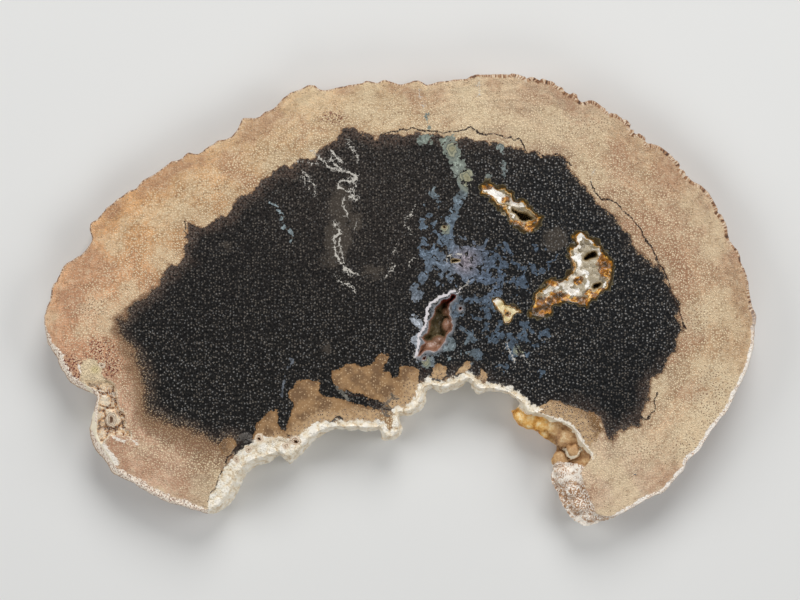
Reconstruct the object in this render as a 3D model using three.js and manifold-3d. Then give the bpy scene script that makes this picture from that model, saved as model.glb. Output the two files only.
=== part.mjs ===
// A slab of petrified palm wood: one slice sawn across a fossil palm trunk, lying on its sawn back.
// Millimetres, +Z up. The origin is under the middle of the slab, on the back face. +X runs along
// the slab's long side, and +Y points from the hollow bay to the far rim.
// The stone is one piece: the polished face, the bark rim, the knobbly chalcedony that lines the
// bay, the broken ledge beside it and the open agate hollows are all grown together.
import * as THREE from "three";
import { mergeVertices } from "three/addons/utils/BufferGeometryUtils.js";
import Module from "manifold-3d";

const thickness = 22;
const barkBevel = 1.1; // how far the polished face stops short of the bark rim
const barkDrop = 1.8; // how far below the face the bark rim is widest
const sideRoughness = 0.9; // how far the side wanders in and out below its widest line
const soleInset = 0.4; // the side tucks in a little where it meets the sawn back
const knobFlatness = 0.8; // height of a knob over its width
const smallKnob = 4.3;

// The bark rim as seen from above, clockwise from the left over the top to the right-hand tip.
const barkRim = [
  [-178, -15], [-178.7, -8.5], [-177, -3.5], [-175, 2], [-174.5, 6], [-172, 10.5], [-169.5, 15.5],
  [-167, 18.7], [-162.5, 21.2], [-158, 24.5], [-155.5, 28.5], [-154.5, 30.5], [-155.5, 35],
  [-155, 39], [-152, 40.5], [-149.5, 44], [-147, 46.7], [-141.5, 50.7], [-135.5, 55], [-132.5, 56],
  [-129.5, 59.5], [-123, 63.5], [-117.5, 67.5], [-114.5, 69.5], [-110, 70.7], [-106.5, 74.2],
  [-101.5, 73.7], [-96, 77], [-90.5, 80.5], [-85.5, 81.7], [-82, 85], [-80, 89], [-79, 91],
  [-75.5, 91.5], [-72, 91.7], [-67.5, 94.7], [-64, 95.7], [-60, 100], [-55, 104.2], [-50, 105.7],
  [-46.5, 107.7], [-43, 107.7], [-40, 105.7], [-36, 105.5], [-31, 107], [-24, 108], [-16, 110],
  [-11.5, 109.2], [-8, 110.5], [-4.5, 109.5], [0.5, 108.2], [5.5, 109.7], [9, 110.2], [14, 108.2],
  [20, 109.7], [27.5, 110.5], [34, 111.7], [39, 113.5], [45, 113], [49.5, 113.7], [56, 113.7],
  [62.5, 112.2], [70, 111.5], [76.5, 109.5], [82.5, 106], [89, 103], [91.5, 100.5], [96.5, 100.2],
  [101.5, 97], [106, 94.2], [110.5, 92.5], [114.5, 89.5], [117.5, 85.5], [122.5, 82], [126, 78.7],
  [130.5, 77], [135, 73.7], [140, 68.5], [142.5, 64.5], [146.5, 60], [150.5, 57.7], [155, 53.5],
  [158.5, 47.5], [162, 42.5], [164, 37], [165.5, 29.5], [169.5, 24.5], [171.5, 18], [174, 12],
  [175.5, 4], [176.5, -3], [178.7, -7.5], [178, -15], [177.5, -22], [175.5, -30.5], [172.5, -39],
  [168.5, -46.5], [165, -54.5], [160, -61], [154.5, -68.5], [150, -76], [144.5, -80.5],
  [142, -85.5], [137, -91], [132.5, -96.2], [127.5, -98.5], [120, -102.5], [112.5, -106.7],
];

// The rest of the rim, where the stone steps down outside the polished face. Each station gives
// the widest point of the side, the edge of the polished face beside it, and the drop between.
// For each stretch, halfDrop is the share of the drop reached half way out (low for a rounded
// brow, high for a step), and setBack is how far the wall stands behind its widest line.
const brokenRim = [
  {
    name: "rough tip, a patch broken away below the face",
    halfDrop: 0.6,
    setBack: 0.4,
    stations: [
    { side: [106, -109.7], face: [106, -108], drop: 2 },
    { side: [100, -111.5], face: [101, -107.7], drop: 3 },
    { side: [93.5, -113.7], face: [98, -106.5], drop: 4.5 },
    { side: [86.5, -110], face: [97, -103.5], drop: 5.5 },
    { side: [82, -104], face: [95.5, -100], drop: 6 },
    { side: [79, -97], face: [93.5, -95.5], drop: 6 },
    { side: [75.7, -90], face: [91.5, -90.5], drop: 6.5 },
    { side: [76.5, -85], face: [91, -85.5], drop: 7 },
    ],
  },
  {
    name: "honey-coloured ledge under the face",
    halfDrop: 0.68,
    setBack: 0.5,
    stations: [
    { side: [76, -80], face: [94, -81.5], drop: 9 },
    { side: [78.5, -74], face: [95.7, -77.5], drop: 10.5 },
    { side: [75, -71.2], face: [93, -73.5], drop: 11.5 },
    { side: [71.5, -69], face: [90, -70], drop: 12 },
    { side: [68, -66], face: [87.5, -65], drop: 12 },
    { side: [64, -65.2], face: [83.5, -62], drop: 12 },
    { side: [59.5, -63.2], face: [78, -60], drop: 12 },
    { side: [56.5, -58.2], face: [72.5, -57.5], drop: 11 },
    { side: [56, -55.7], face: [67.5, -56], drop: 9 },
    { side: [58, -54.7], face: [64, -54.5], drop: 7 },
    ],
  },
  {
    name: "white chalcedony that lines the bay",
    halfDrop: 0.3,
    setBack: 0.7,
    stations: [
    { side: [59.5, -52], face: [61.5, -51], drop: 4.5 },
    { side: [57, -49.7], face: [58.5, -48.5], drop: 4.5 },
    { side: [53.5, -48], face: [54.5, -46.2], drop: 4.5 },
    { side: [49, -46.7], face: [49.5, -44.5], drop: 5 },
    { side: [44, -46.7], face: [44.5, -44], drop: 5 },
    { side: [39.5, -48], face: [40, -44], drop: 6 },
    { side: [36.2, -45.5], face: [38, -42], drop: 5 },
    { side: [34, -41.7], face: [34.5, -39], drop: 5 },
    { side: [31.7, -43.7], face: [30.5, -40.5], drop: 5 },
    { side: [27.5, -45.5], face: [26.5, -42], drop: 5.5 },
    { side: [20.5, -47.5], face: [20.5, -43], drop: 6 },
    { side: [15.5, -45.5], face: [15.5, -42], drop: 5 },
    { side: [13.5, -48], face: [11, -44], drop: 5 },
    { side: [13.5, -52], face: [10.5, -49.5], drop: 5 },
    { side: [10, -56.2], face: [8, -53], drop: 5 },
    { side: [4, -59], face: [3.5, -55.5], drop: 5 },
    { side: [0.5, -59], face: [-1, -56], drop: 5 },
    { side: [2, -64.5], face: [-1, -62.5], drop: 5 },
    { side: [0, -69], face: [-2.5, -66.5], drop: 5 },
    { side: [-4.5, -71], face: [-5, -68], drop: 5 },
    { side: [-9.5, -70], face: [-7.5, -67], drop: 5 },
    { side: [-10.5, -66], face: [-9.5, -63.5], drop: 5 },
    { side: [-15.5, -66.7], face: [-15, -63.5], drop: 5 },
    { side: [-20.5, -65.7], face: [-20.5, -63], drop: 5 },
    { side: [-26.5, -66], face: [-26.5, -63.5], drop: 5 },
    { side: [-32.5, -65.5], face: [-32, -63], drop: 5 },
    { side: [-38.5, -68.5], face: [-39.5, -65], drop: 6 },
    { side: [-44.5, -73], face: [-46.5, -69.5], drop: 7 },
    { side: [-50.5, -79.5], face: [-52, -75], drop: 7.5 },
    { side: [-55.5, -83.2], face: [-56.5, -77.5], drop: 8 },
    { side: [-60, -79], face: [-60, -75.5], drop: 7 },
    { side: [-65, -82.5], face: [-66.5, -77.5], drop: 8 },
    { side: [-71.5, -84], face: [-73.5, -79.5], drop: 8 },
    { side: [-77, -88.5], face: [-80, -83.5], drop: 8.5 },
    { side: [-79.7, -94], face: [-83, -88.5], drop: 8.5 },
    { side: [-83.5, -101], face: [-86, -95], drop: 8.5 },
    { side: [-88, -105.5], face: [-89.5, -100], drop: 7.5 },
    { side: [-93.5, -108], face: [-94, -103.5], drop: 5 },
    ],
  },
  {
    name: "left-hand lobe, where the bark is thin and slopes away under the notch",
    halfDrop: 0.42,
    setBack: 0,
    stations: [
    { side: [-100, -106.7], face: [-99.5, -105], drop: 2.5 },
    { side: [-108, -104.2], face: [-107.5, -102.7], drop: 2 },
    { side: [-115, -102], face: [-114.5, -100.5], drop: 2 },
    { side: [-123, -98.5], face: [-122.5, -97], drop: 2 },
    { side: [-130.5, -94.5], face: [-129.5, -93], drop: 2 },
    { side: [-137, -90.5], face: [-135.5, -89], drop: 2.5 },
    { side: [-143.5, -87.5], face: [-140.5, -85.5], drop: 3.5 },
    { side: [-148.5, -80.5], face: [-145, -78.5], drop: 4.5 },
    { side: [-153.5, -74], face: [-149, -72.5], drop: 5 },
    { side: [-156, -67], face: [-151.5, -66.5], drop: 5 },
    { side: [-155, -60], face: [-151.5, -60], drop: 4.5 },
    { side: [-153, -52], face: [-151, -52.5], drop: 3.5 },
    { side: [-152.7, -48.5], face: [-150.5, -47], drop: 3.5 },
    { side: [-158, -45.5], face: [-156, -43], drop: 3.5 },
    { side: [-164, -42.7], face: [-162, -40], drop: 3.5 },
    { side: [-169.5, -35.5], face: [-167, -33.5], drop: 3.5 },
    { side: [-172.5, -28.5], face: [-170, -26.5], drop: 3 },
    { side: [-176.2, -22.5], face: [-174, -21.5], drop: 2.5 },
    ],
  },
];

// Open hollows in the agate, each a mouth outline on the face that narrows to its floor.
const hollows = [
  {
    name: "long hollow",
    mouth: [[55.5, 44], [60, 46.5], [66, 44.5], [69.5, 40], [64, 38.5], [59, 40.5]],
    depth: 15,
    floor: 0.62,
  },
  {
    name: "hooked upper hollow",
    mouth: [[88.5, 26], [94, 28], [99.5, 22.5], [97, 19], [91.5, 19], [90.5, 21.5]],
    depth: 16,
    floor: 0.66,
  },
  {
    name: "hooked lower hollow",
    mouth: [[94.5, 6], [98, 9.5], [101.5, 9.5], [102.5, 7], [99.5, 4], [95.5, 4]],
    depth: 15,
    floor: 0.6,
  },
  {
    name: "rusty cleft",
    mouth: [
      [8.5, -27], [13, -15], [18, -3], [23.5, 2], [28.5, 4.5], [27.5, 0.5], [23.5, -5.5],
      [20, -13.5], [21, -17.5], [12.5, -20.5],
    ],
    depth: 17,
    floor: 0.7,
  },
  {
    name: "upper slit",
    mouth: [[25, 19.2], [27, 20.8], [30, 20.2], [31, 18], [28.5, 17.8], [26, 18]],
    depth: 9,
    floor: 0.5,
  },
  {
    name: "yellow pocket",
    mouth: [[53, -3.5], [55.5, -5], [54.5, -8], [53, -9.5], [52.5, -6.5]],
    depth: 7,
    floor: 0.45,
  },
  {
    name: "honey pit",
    mouth: [[88.5, 10], [91, 9.5], [91.5, 7.5], [89, 6.8], [87.5, 8.3]],
    depth: 5,
    floor: 0.5,
  },
  {
    name: "crust eye",
    mouth: [[-70.8, -68.2], [-69.6, -67.6], [-68.8, -68.8], [-69.8, -70], [-71, -69.6]],
    depth: 7,
    floor: 0.5,
  },
];

// The knobbly pocket in the left-hand lobe: a shallow basin in the face and the knobs in it.
const pocket = {
  mouth: [
    [-158, -29], [-153.5, -28.5], [-150, -33], [-148.5, -38.5], [-142.5, -41], [-142, -46],
    [-140.5, -53], [-137, -56.5], [-136.5, -62], [-133.5, -65.5], [-135, -69.5], [-142, -69],
    [-149.5, -67.5], [-150, -58], [-150.5, -50], [-153.5, -45.5], [-158, -41.5], [-159.5, -35],
  ],
  depth: 3.2,
  floor: 0.86,
};
const pocketKnobs = [
  { at: [-154.5, -36.5], reach: 5.2, top: 0.4 },
  { at: [-147, -44], reach: 4, top: 0.8 },
  { at: [-146.5, -51.5], reach: 4.2, top: 0.6 },
  { at: [-143, -59.5], reach: 4.6, top: 0.3 },
  { at: [-148, -62.5], reach: 3.2, top: 1.0 },
  { at: [-138.5, -66], reach: 3, top: 0.7 },
];

// Swellings on the honey ledge and the rough tip. top is how far each stays under the face.
const ledgeKnobs = [
  { at: [60.5, -58.5], reach: 3.6, top: 4.6 },
  { at: [65.5, -60.5], reach: 4.6, top: 5 },
  { at: [71.5, -62], reach: 4.6, top: 4.4 },
  { at: [77.5, -63.8], reach: 4.6, top: 3.6 },
  { at: [73.5, -66.5], reach: 3.4, top: 7.4 },
  { at: [84, -69], reach: 5.4, top: 2.8 },
  { at: [86.5, -76], reach: 3.8, top: 1.2 },
  { at: [80.5, -80], reach: 4.6, top: 5.2 },
  { at: [83, -88.5], reach: 5, top: 2.4 },
  { at: [87, -95.5], reach: 4.6, top: 2.2 },
  { at: [90.5, -103], reach: 4.6, top: 1.8 },
];

// Chalcedony knobs over the brow and down the wall of the bay, in three rows. Each row says where
// it stands between the face edge (0) and the widest line (1), how high, and how often it comes.
const bayRows = [
  { out: 0.62, height: 0.88, every: 1, reach: 2.4 },
  { out: 0.8, height: 0.56, every: 3, reach: 3.2 },
  { out: 0.76, height: 0.28, every: 3, reach: 3.4 },
];
const bayKnobSpread = 1.0; // how much wider the widest knob of a row is

// Repeatable scatter between 0 and 1 for a whole number.
function scatter(n) {
  const s = Math.sin(n * 12.9898 + 4.1414) * 43758.5453;
  return s - Math.floor(s);
}

// Smooth scatter along the rim: blends between the whole numbers on either side.
function wander(along, seed) {
  const low = Math.floor(along);
  const share = along - low;
  const ease = share * share * (3 - 2 * share);
  return scatter(low + seed) * (1 - ease) + scatter(low + 1 + seed) * ease;
}

// The bark stations get their face edge by stepping inwards from the rim.
function barkStations() {
  const before = brokenRim[brokenRim.length - 1].stations;
  const whole = [before[before.length - 1].side, ...barkRim, brokenRim[0].stations[0].side];
  return barkRim.map((side, i) => {
    const [x, y] = [whole[i + 2][0] - whole[i][0], whole[i + 2][1] - whole[i][1]];
    const along = new THREE.Vector2(x, y).normalize();
    const face = [side[0] + along.y * barkBevel, side[1] - along.x * barkBevel];
    return { side, face, drop: barkDrop, halfDrop: 0.42, setBack: 0 };
  });
}

// All the stations in order, each with the manners of its stretch.
function allStations() {
  const broken = brokenRim.flatMap(({ stations, halfDrop, setBack }) =>
    stations.map((station) => ({ ...station, halfDrop, setBack })));
  return [...barkStations(), ...broken];
}

// Closed, evenly paired rings through the stations. The side ring's z holds the drop.
function rimRings(stations) {
  const through = (pick) => new THREE.CatmullRomCurve3(
    stations.map((s) => new THREE.Vector3(...pick(s))), true, "centripetal");
  const sideCurve = through((s) => [...s.side, s.drop]);
  const faceCurve = through((s) => [...s.face, 0]);
  const rings = { side: [], face: [], outward: [], halfDrop: [], setBack: [] };
  stations.forEach((station, s) => {
    // The bark is drawn straight from station to station, and the broken side gets points between.
    for (const between of s < barkRim.length ? [0] : [0, 0.5]) {
      const next = stations[(s + Math.ceil(between)) % stations.length];
      rings.side.push(sideCurve.getPoint((s + between) / stations.length));
      rings.face.push(faceCurve.getPoint((s + between) / stations.length));
      rings.halfDrop.push((station.halfDrop + next.halfDrop) / 2);
      rings.setBack.push((station.setBack + next.setBack) / 2);
    }
  });
  const count = rings.side.length;
  for (let i = 0; i < count; i++) {
    const along = rings.side[(i + 2) % count].clone().sub(rings.side[(i + count - 2) % count]);
    rings.outward.push(new THREE.Vector2(-along.y, along.x).normalize());
  }
  return rings;
}

// A closed mesh through rings of equal count, from the lowest to the highest, flat at both ends.
function loft(rings) {
  const count = rings[0].length;
  const positions = rings.flat().flatMap((p) => [p.x, p.y, p.z]);
  const index = [];
  for (let r = 0; r + 1 < rings.length; r++) {
    for (let i = 0; i < count; i++) {
      const a = r * count + i;
      const b = r * count + ((i + 1) % count);
      index.push(a, b, b + count, a, b + count, a + count);
    }
  }
  const cap = (ring, offset, turned) => {
    const flat = ring.map((p) => new THREE.Vector2(p.x, p.y));
    for (const [a, b, c] of THREE.ShapeUtils.triangulateShape(flat, [])) {
      index.push(offset + a, offset + (turned ? c : b), offset + (turned ? b : c));
    }
  };
  cap(rings[0], 0, true);
  cap(rings[rings.length - 1], (rings.length - 1) * count, false);
  const geometry = new THREE.BufferGeometry();
  geometry.setAttribute("position", new THREE.Float32BufferAttribute(positions, 3));
  geometry.setIndex(index);
  return geometry;
}

// The plain body of the slab: sawn back, broken side, shoulder and polished face.
function slabBody(stations) {
  const { side, face, outward, halfDrop, setBack } = rimRings(stations);
  const level = (share, tuck, seed) => side.map((p, i) => {
    const inward = tuck + setBack[i] + sideRoughness * wander(i * 0.8, seed);
    const [x, y] = [p.x - outward[i].x * inward, p.y - outward[i].y * inward];
    return new THREE.Vector3(x, y, (thickness - p.z) * share);
  });
  const shoulder = side.map((p, i) =>
    p.clone().lerp(face[i], 0.5).setZ(thickness - p.z * halfDrop[i]));
  const rings = [
    level(0, soleInset, 10),
    level(0.45, 0, 300),
    side.map((p) => new THREE.Vector3(p.x, p.y, thickness - p.z)),
    shoulder,
    face.map((p) => new THREE.Vector3(p.x, p.y, thickness)),
  ];
  // The stations run clockwise, so each ring is turned round for its faces to point outwards.
  return loft(rings.map((ring) => ring.slice().reverse()));
}

// The space inside a hollow: its mouth stands a little above the face so that it cuts cleanly.
function hollowSpace({ mouth, depth, floor }) {
  const outline = mouth.map(([x, y]) => new THREE.Vector3(x, y, 0));
  const curve = new THREE.CatmullRomCurve3(outline, true, "centripetal");
  const ring = curve.getPoints(mouth.length * 2).slice(0, -1);
  const flat = ring.map((p) => new THREE.Vector2(p.x, p.y));
  if (THREE.ShapeUtils.area(flat) < 0) ring.reverse();
  const middle = ring.reduce((sum, p) => sum.add(p), new THREE.Vector3()).divideScalar(ring.length);
  const at = (scale, z) => ring.map((p) => middle.clone().lerp(p, scale).setZ(z));
  return loft([
    at(floor, thickness - depth),
    at((1 + floor) / 2, thickness - depth * 0.7),
    at(1, thickness - 0.8),
    at(1, thickness + 1),
  ]);
}

// A rounded swelling, a little wider than it is tall. Small ones are cut like a dodecahedron.
function knob(x, y, z, reach, turn) {
  const small = reach < smallKnob;
  const geometry = small ? new THREE.DodecahedronGeometry(reach) : new THREE.IcosahedronGeometry(reach, 1);
  geometry.scale(1, 0.86, knobFlatness);
  geometry.rotateZ(turn);
  geometry.translate(x, y, z);
  return geometry;
}

// The knobs that line the bay.
function wallKnobs(stations) {
  const [tip, ledge, bay] = brokenRim.map((stretch) => stretch.stations.length);
  const first = barkRim.length + tip + ledge;
  const found = [];
  bayRows.forEach(({ out, height, every, reach: least }, row) => {
    for (let s = row % every; s < bay; s += every) {
      const { side, face } = stations[first + s];
      const chance = scatter(s * 7 + row * 131);
      const reach = least + bayKnobSpread * chance;
      const x = face[0] + (side[0] - face[0]) * out;
      const y = face[1] + (side[1] - face[1]) * out;
      // The top of the slab is sawn flat, so the highest row is kept just under it.
      const z = Math.min(thickness * height + 1.6 * chance, thickness - 0.8 - reach * knobFlatness);
      found.push(knob(x, y, z, reach, chance * 6));
    }
  });
  return found;
}

// Knobs placed by hand, each with its top a little under the face.
function placedKnobs(list) {
  return list.map(({ at, reach, top }, i) =>
    knob(at[0], at[1], thickness - top - reach * knobFlatness, reach, scatter(i + 50) * 6));
}

const wasm = await Module();
wasm.setup();

// A closed three.js geometry as a solid for joining and cutting.
function solid(geometry) {
  const bare = geometry.clone();
  bare.deleteAttribute("normal");
  bare.deleteAttribute("uv");
  const merged = mergeVertices(bare, 1e-4);
  return new wasm.Manifold(new wasm.Mesh({
    numProp: 3,
    vertProperties: new Float32Array(merged.attributes.position.array),
    triVerts: new Uint32Array(merged.index.array),
  }));
}

// A solid back to a three.js geometry.
function geometryOf(made) {
  const mesh = made.getMesh();
  const geometry = new THREE.BufferGeometry();
  geometry.setAttribute("position", new THREE.BufferAttribute(new Float32Array(mesh.vertProperties), 3));
  geometry.setIndex(new THREE.BufferAttribute(new Uint32Array(mesh.triVerts), 1));
  return geometry;
}

// Everything above the polish and below the saw cut is gone.
function betweenSawCuts(made) {
  const room = new THREE.BoxGeometry(400, 300, thickness);
  room.translate(0, 0, thickness / 2);
  return made.intersect(solid(room));
}

function slabGeometry() {
  const stations = allStations();
  let made = solid(slabBody(stations));
  made = made.subtract(solid(hollowSpace(pocket)));
  const knobs = [...placedKnobs(pocketKnobs), ...placedKnobs(ledgeKnobs), ...wallKnobs(stations)];
  for (const geometry of knobs) made = made.add(solid(geometry));
  for (const hollow of hollows) made = made.subtract(solid(hollowSpace(hollow)));
  const geometry = geometryOf(betweenSawCuts(made));
  geometry.computeBoundingBox();
  const middle = geometry.boundingBox.getCenter(new THREE.Vector3());
  geometry.translate(-middle.x, -middle.y, 0);
  return geometry;
}

const stone = new THREE.MeshStandardMaterial({ color: 0x8f7558, roughness: 0.35, metalness: 0 });
const geometry = slabGeometry().toNonIndexed();
geometry.computeVertexNormals();
const slab = new THREE.Mesh(geometry, stone);
slab.name = "slab";

const object = new THREE.Group();
object.add(slab);

export default object;
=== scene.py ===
import math
import bpy
import numpy as np
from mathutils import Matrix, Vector, geometry


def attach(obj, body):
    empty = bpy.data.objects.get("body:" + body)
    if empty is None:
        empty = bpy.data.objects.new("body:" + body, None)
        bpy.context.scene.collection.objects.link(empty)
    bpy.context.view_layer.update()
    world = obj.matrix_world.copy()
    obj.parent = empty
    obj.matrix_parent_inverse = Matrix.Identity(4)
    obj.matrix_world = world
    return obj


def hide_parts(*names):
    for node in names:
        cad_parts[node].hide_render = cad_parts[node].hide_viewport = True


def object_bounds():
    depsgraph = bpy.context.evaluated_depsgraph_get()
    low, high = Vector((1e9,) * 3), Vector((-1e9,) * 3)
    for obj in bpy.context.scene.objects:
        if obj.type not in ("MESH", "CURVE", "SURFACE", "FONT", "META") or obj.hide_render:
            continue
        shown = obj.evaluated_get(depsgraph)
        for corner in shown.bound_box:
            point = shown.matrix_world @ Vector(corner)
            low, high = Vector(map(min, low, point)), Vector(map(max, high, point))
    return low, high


# A slab sawn across a petrified palm trunk, polished on one side and lying on its sawn back.
# Outlines below are in millimetres seen from above, with the middle of the slab at 0,0.
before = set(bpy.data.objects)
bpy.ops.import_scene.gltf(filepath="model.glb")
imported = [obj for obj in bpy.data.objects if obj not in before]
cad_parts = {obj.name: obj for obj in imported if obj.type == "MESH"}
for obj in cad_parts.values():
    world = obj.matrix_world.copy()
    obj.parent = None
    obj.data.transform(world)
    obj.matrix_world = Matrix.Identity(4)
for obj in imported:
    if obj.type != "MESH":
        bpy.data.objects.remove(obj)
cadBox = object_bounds()
print("frame loaded")


def linearColour(hexText, alpha=1.0):
    parts = [int(hexText[i:i + 2], 16) / 255 for i in (1, 3, 5)]
    return tuple(p / 12.92 if p < 0.04045 else ((p + 0.055) / 1.055) ** 2.4 for p in parts) + (alpha,)


def readPoints(text, width=2):
    return np.array([[float(v) for v in item.split(",")] for item in text.split()]).reshape(-1, width)


def readStrokes(*strokes):
    return [(readPoints(text), width) for text, width in strokes]


def readOutlines(*outlines):
    return [readPoints(text) for text in outlines]


cameraSetup = {
    "viewWidth": 0.4,  # metres across the picture, at the polished face
    "lens": 135,  # mm, long, so the rim hides the sides as in the photograph
    "sensor": 36,  # mm
    "farthest": 20,  # metres
}
floorSetup = {"size": 3.0, "colour": "#e2e2e0", "roughness": 0.9, "ior": 1.45}
skySetup = {"colour": "#f4f6fa", "strength": 0.12}  # what the lamps leave dark
lampSetup = [
    # name, place, size and watts; they stand round the slab, so the polish doesn't mirror them
    ("upper softbox", (0.3, 1.7, 1.42), 1.3, 31),
    ("left softbox", (-1.7, 0.3, 1.22), 1.3, 15.2),
    ("right softbox", (1.7, 0.2, 1.22), 1.3, 14.6),
    ("lower softbox", (-0.1, -1.8, 1.5), 1.4, 11.6),
]

thickness = (cadBox[1][2] - cadBox[0][2]) * 1000
cameraData = bpy.data.cameras.new("camera")
cameraData.lens = cameraSetup["lens"]
cameraData.sensor_width = cameraSetup["sensor"]
cameraData.clip_end = cameraSetup["farthest"]
camera = bpy.data.objects.new("camera", cameraData)
distance = cameraSetup["viewWidth"] * cameraSetup["lens"] / cameraSetup["sensor"]
camera.location = (0, 0, thickness / 1000 + distance)
bpy.context.collection.objects.link(camera)
bpy.context.scene.camera = camera
bpy.context.scene.view_settings.view_transform = "Standard"

half = floorSetup["size"] / 2
floorMesh = bpy.data.meshes.new("floor")
floorCorners = [(-half, -half, 0), (half, -half, 0), (half, half, 0), (-half, half, 0)]
floorMesh.from_pydata(floorCorners, [], [(0, 1, 2, 3)])
floor = bpy.data.objects.new("floor", floorMesh)
bpy.context.collection.objects.link(floor)

for lampName, place, size, watts in lampSetup:
    lampData = bpy.data.lights.new(lampName, "AREA")
    lampData.shape = "DISK"
    lampData.size = size
    lampData.energy = watts
    lamp = bpy.data.objects.new(lampName, lampData)
    lamp.location = place
    lamp.rotation_euler = (-Vector(place)).to_track_quat("-Z", "Y").to_euler()
    bpy.context.collection.objects.link(lamp)

world = bpy.data.worlds.new("studio")
bpy.context.scene.world = world
world.use_nodes = True
background = world.node_tree.nodes["Background"]
background.inputs["Color"].default_value = linearColour(skySetup["colour"])
background.inputs["Strength"].default_value = skySetup["strength"]
print("studio ready")


def scatter(cells, seed):
    # a repeatable number from 0 to 1 for each whole-number cell
    h = np.full(cells.shape[:-1], seed * 2654435761 % 2**32, dtype=np.uint64)
    for k, prime in zip(range(cells.shape[-1]), (73856093, 19349663, 83492791)):
        h ^= (cells[..., k].astype(np.int64) * prime % 2**32).astype(np.uint64)
        h = (h ^ (h >> np.uint64(15))) * np.uint64(2246822519) % np.uint64(2**32)
        h = (h ^ (h >> np.uint64(13))) * np.uint64(3266489917) % np.uint64(2**32)
    return (h ^ (h >> np.uint64(16))).astype(float) / 2**32


def softNoise(places, size, seed):
    # smooth noise from -1 to 1; size is the spacing of its swells in mm
    p = places / size
    low = np.floor(p).astype(np.int64)
    t = p - low
    t = t * t * (3 - 2 * t)
    total = np.zeros(len(p))
    for corner in np.ndindex(*(2,) * p.shape[1]):
        c = np.array(corner)
        total += scatter(low + c, seed) * np.prod(np.where(c == 1, t, 1 - t), axis=1)
    return total * 2 - 1


def roughNoise(places, size, seed, layers=3):
    total = sum(softNoise(places, size / 2**k, seed + 17 * k) / 2**k for k in range(layers))
    return total / (2 - 2 / 2**layers)


def knobbly(places, size, seed):
    # rounded lumps packed side by side: 1 on their tops, 0 in the creases between them
    p = places / size
    low = np.floor(p).astype(np.int64)
    first = np.full(len(p), 9.0)
    second = np.full(len(p), 9.0)
    for step in np.ndindex(*(3,) * p.shape[1]):
        cell = low + np.array(step) - 1
        shift = np.stack([scatter(cell, seed + 101 * k) for k in range(p.shape[1])], axis=1)
        d = np.sqrt(((cell + 0.15 + 0.7 * shift - p) ** 2).sum(axis=1))
        second = np.where(d < first, first, np.minimum(second, d))
        first = np.minimum(first, d)
    return np.sqrt(np.clip((second - first) * 1.5, 0, 1))


def smoothStep(low, high, values):
    t = np.clip((values - low) / (high - low), 0, 1)
    return t * t * (3 - 2 * t)


def lineDistance(places, line, closed, reach):
    # distance to a line of straight pieces, block by block; anything beyond reach gives reach
    ends = np.roll(line, -1, axis=0) if closed else line[1:]
    starts = line if closed else line[:-1]
    result = np.full(len(places), float(reach))
    low, high = line.min(axis=0) - reach, line.max(axis=0) + reach
    near = np.where(((places > low) & (places < high)).all(axis=1))[0]
    if not len(near):
        return result
    block = 24.0
    keys = np.floor(places[near] / block).astype(int)
    order = np.lexsort((keys[:, 1], keys[:, 0]))
    near, keys = near[order], keys[order]
    edges = np.where((np.diff(keys, axis=0) != 0).any(axis=1))[0] + 1
    middle = (starts + ends) / 2
    halfLong = np.sqrt(((ends - starts) ** 2).sum(axis=1)) / 2
    for group in np.split(np.arange(len(near)), edges):
        centre = (keys[group[0]] + 0.5) * block
        close = np.sqrt(((middle - centre) ** 2).sum(axis=1)) < reach + halfLong + block * 0.71
        if not close.any():
            continue
        a, b = starts[close], ends[close]
        ab = b - a
        q = places[near[group]][:, None, :] - a[None]
        t = np.clip((q * ab).sum(axis=2) / np.maximum((ab * ab).sum(axis=1), 1e-9), 0, 1)
        gap = q - t[..., None] * ab
        result[near[group]] = np.minimum(reach, np.sqrt((gap * gap).sum(axis=2)).min(axis=1))
    return result


def isInside(places, outline):
    inside = np.zeros(len(places), dtype=bool)
    low, high = outline.min(axis=0), outline.max(axis=0)
    near = np.where(((places > low) & (places < high)).all(axis=1))[0]
    a, b = outline, np.roll(outline, -1, axis=0)
    for part in np.array_split(near, max(1, len(near) // 4000)):
        x, y = places[part, 0][:, None], places[part, 1][:, None]
        crosses = (a[:, 1] > y) != (b[:, 1] > y)
        rise = np.where(b[:, 1] == a[:, 1], 1e-9, b[:, 1] - a[:, 1])
        crosses &= x < (b[:, 0] - a[:, 0]) * (y - a[:, 1]) / rise + a[:, 0]
        inside[part] = crosses.sum(axis=1) % 2 == 1
    return inside


def depthInside(places, outline, reach=12.0):
    # mm inside the outline, negative outside it
    away = lineDistance(places, outline, True, reach)
    return np.where(isInside(places, outline), away, -away)


def strokeDepth(places, line, width, reach=8.0):
    return width / 2 - lineDistance(places, line, False, reach)


def spotDepth(places, x, y, rx, ry):
    # an ellipse's depth, near enough
    return (1 - np.sqrt(((places[:, 0] - x) / rx) ** 2 + ((places[:, 1] - y) / ry) ** 2)) * min(rx, ry)


def deepest(parts):
    return np.max(np.stack(parts), axis=0)


def outlinesDepth(places, outlines):
    return deepest([depthInside(places, outline) for outline in outlines])


def strokesDepth(places, strokes):
    return deepest([strokeDepth(places, line, width) for line, width in strokes])


def spotsDepth(places, spots):
    return deepest([spotDepth(places, *spot) for spot in spots])


def spotsShare(places, spots):
    # 1 in the middle of a spot and 0 at its edge
    return deepest([spotDepth(places, *spot) / min(spot[2:]) for spot in spots])


def swayed(places, reach, size=3.6):
    # the places pushed a little aside, so that a drawn outline comes out uneven like a grown one
    push = [roughNoise(places, size, seed) for seed in (81, 82)]
    return places + reach * np.stack(push, axis=1)


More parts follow.
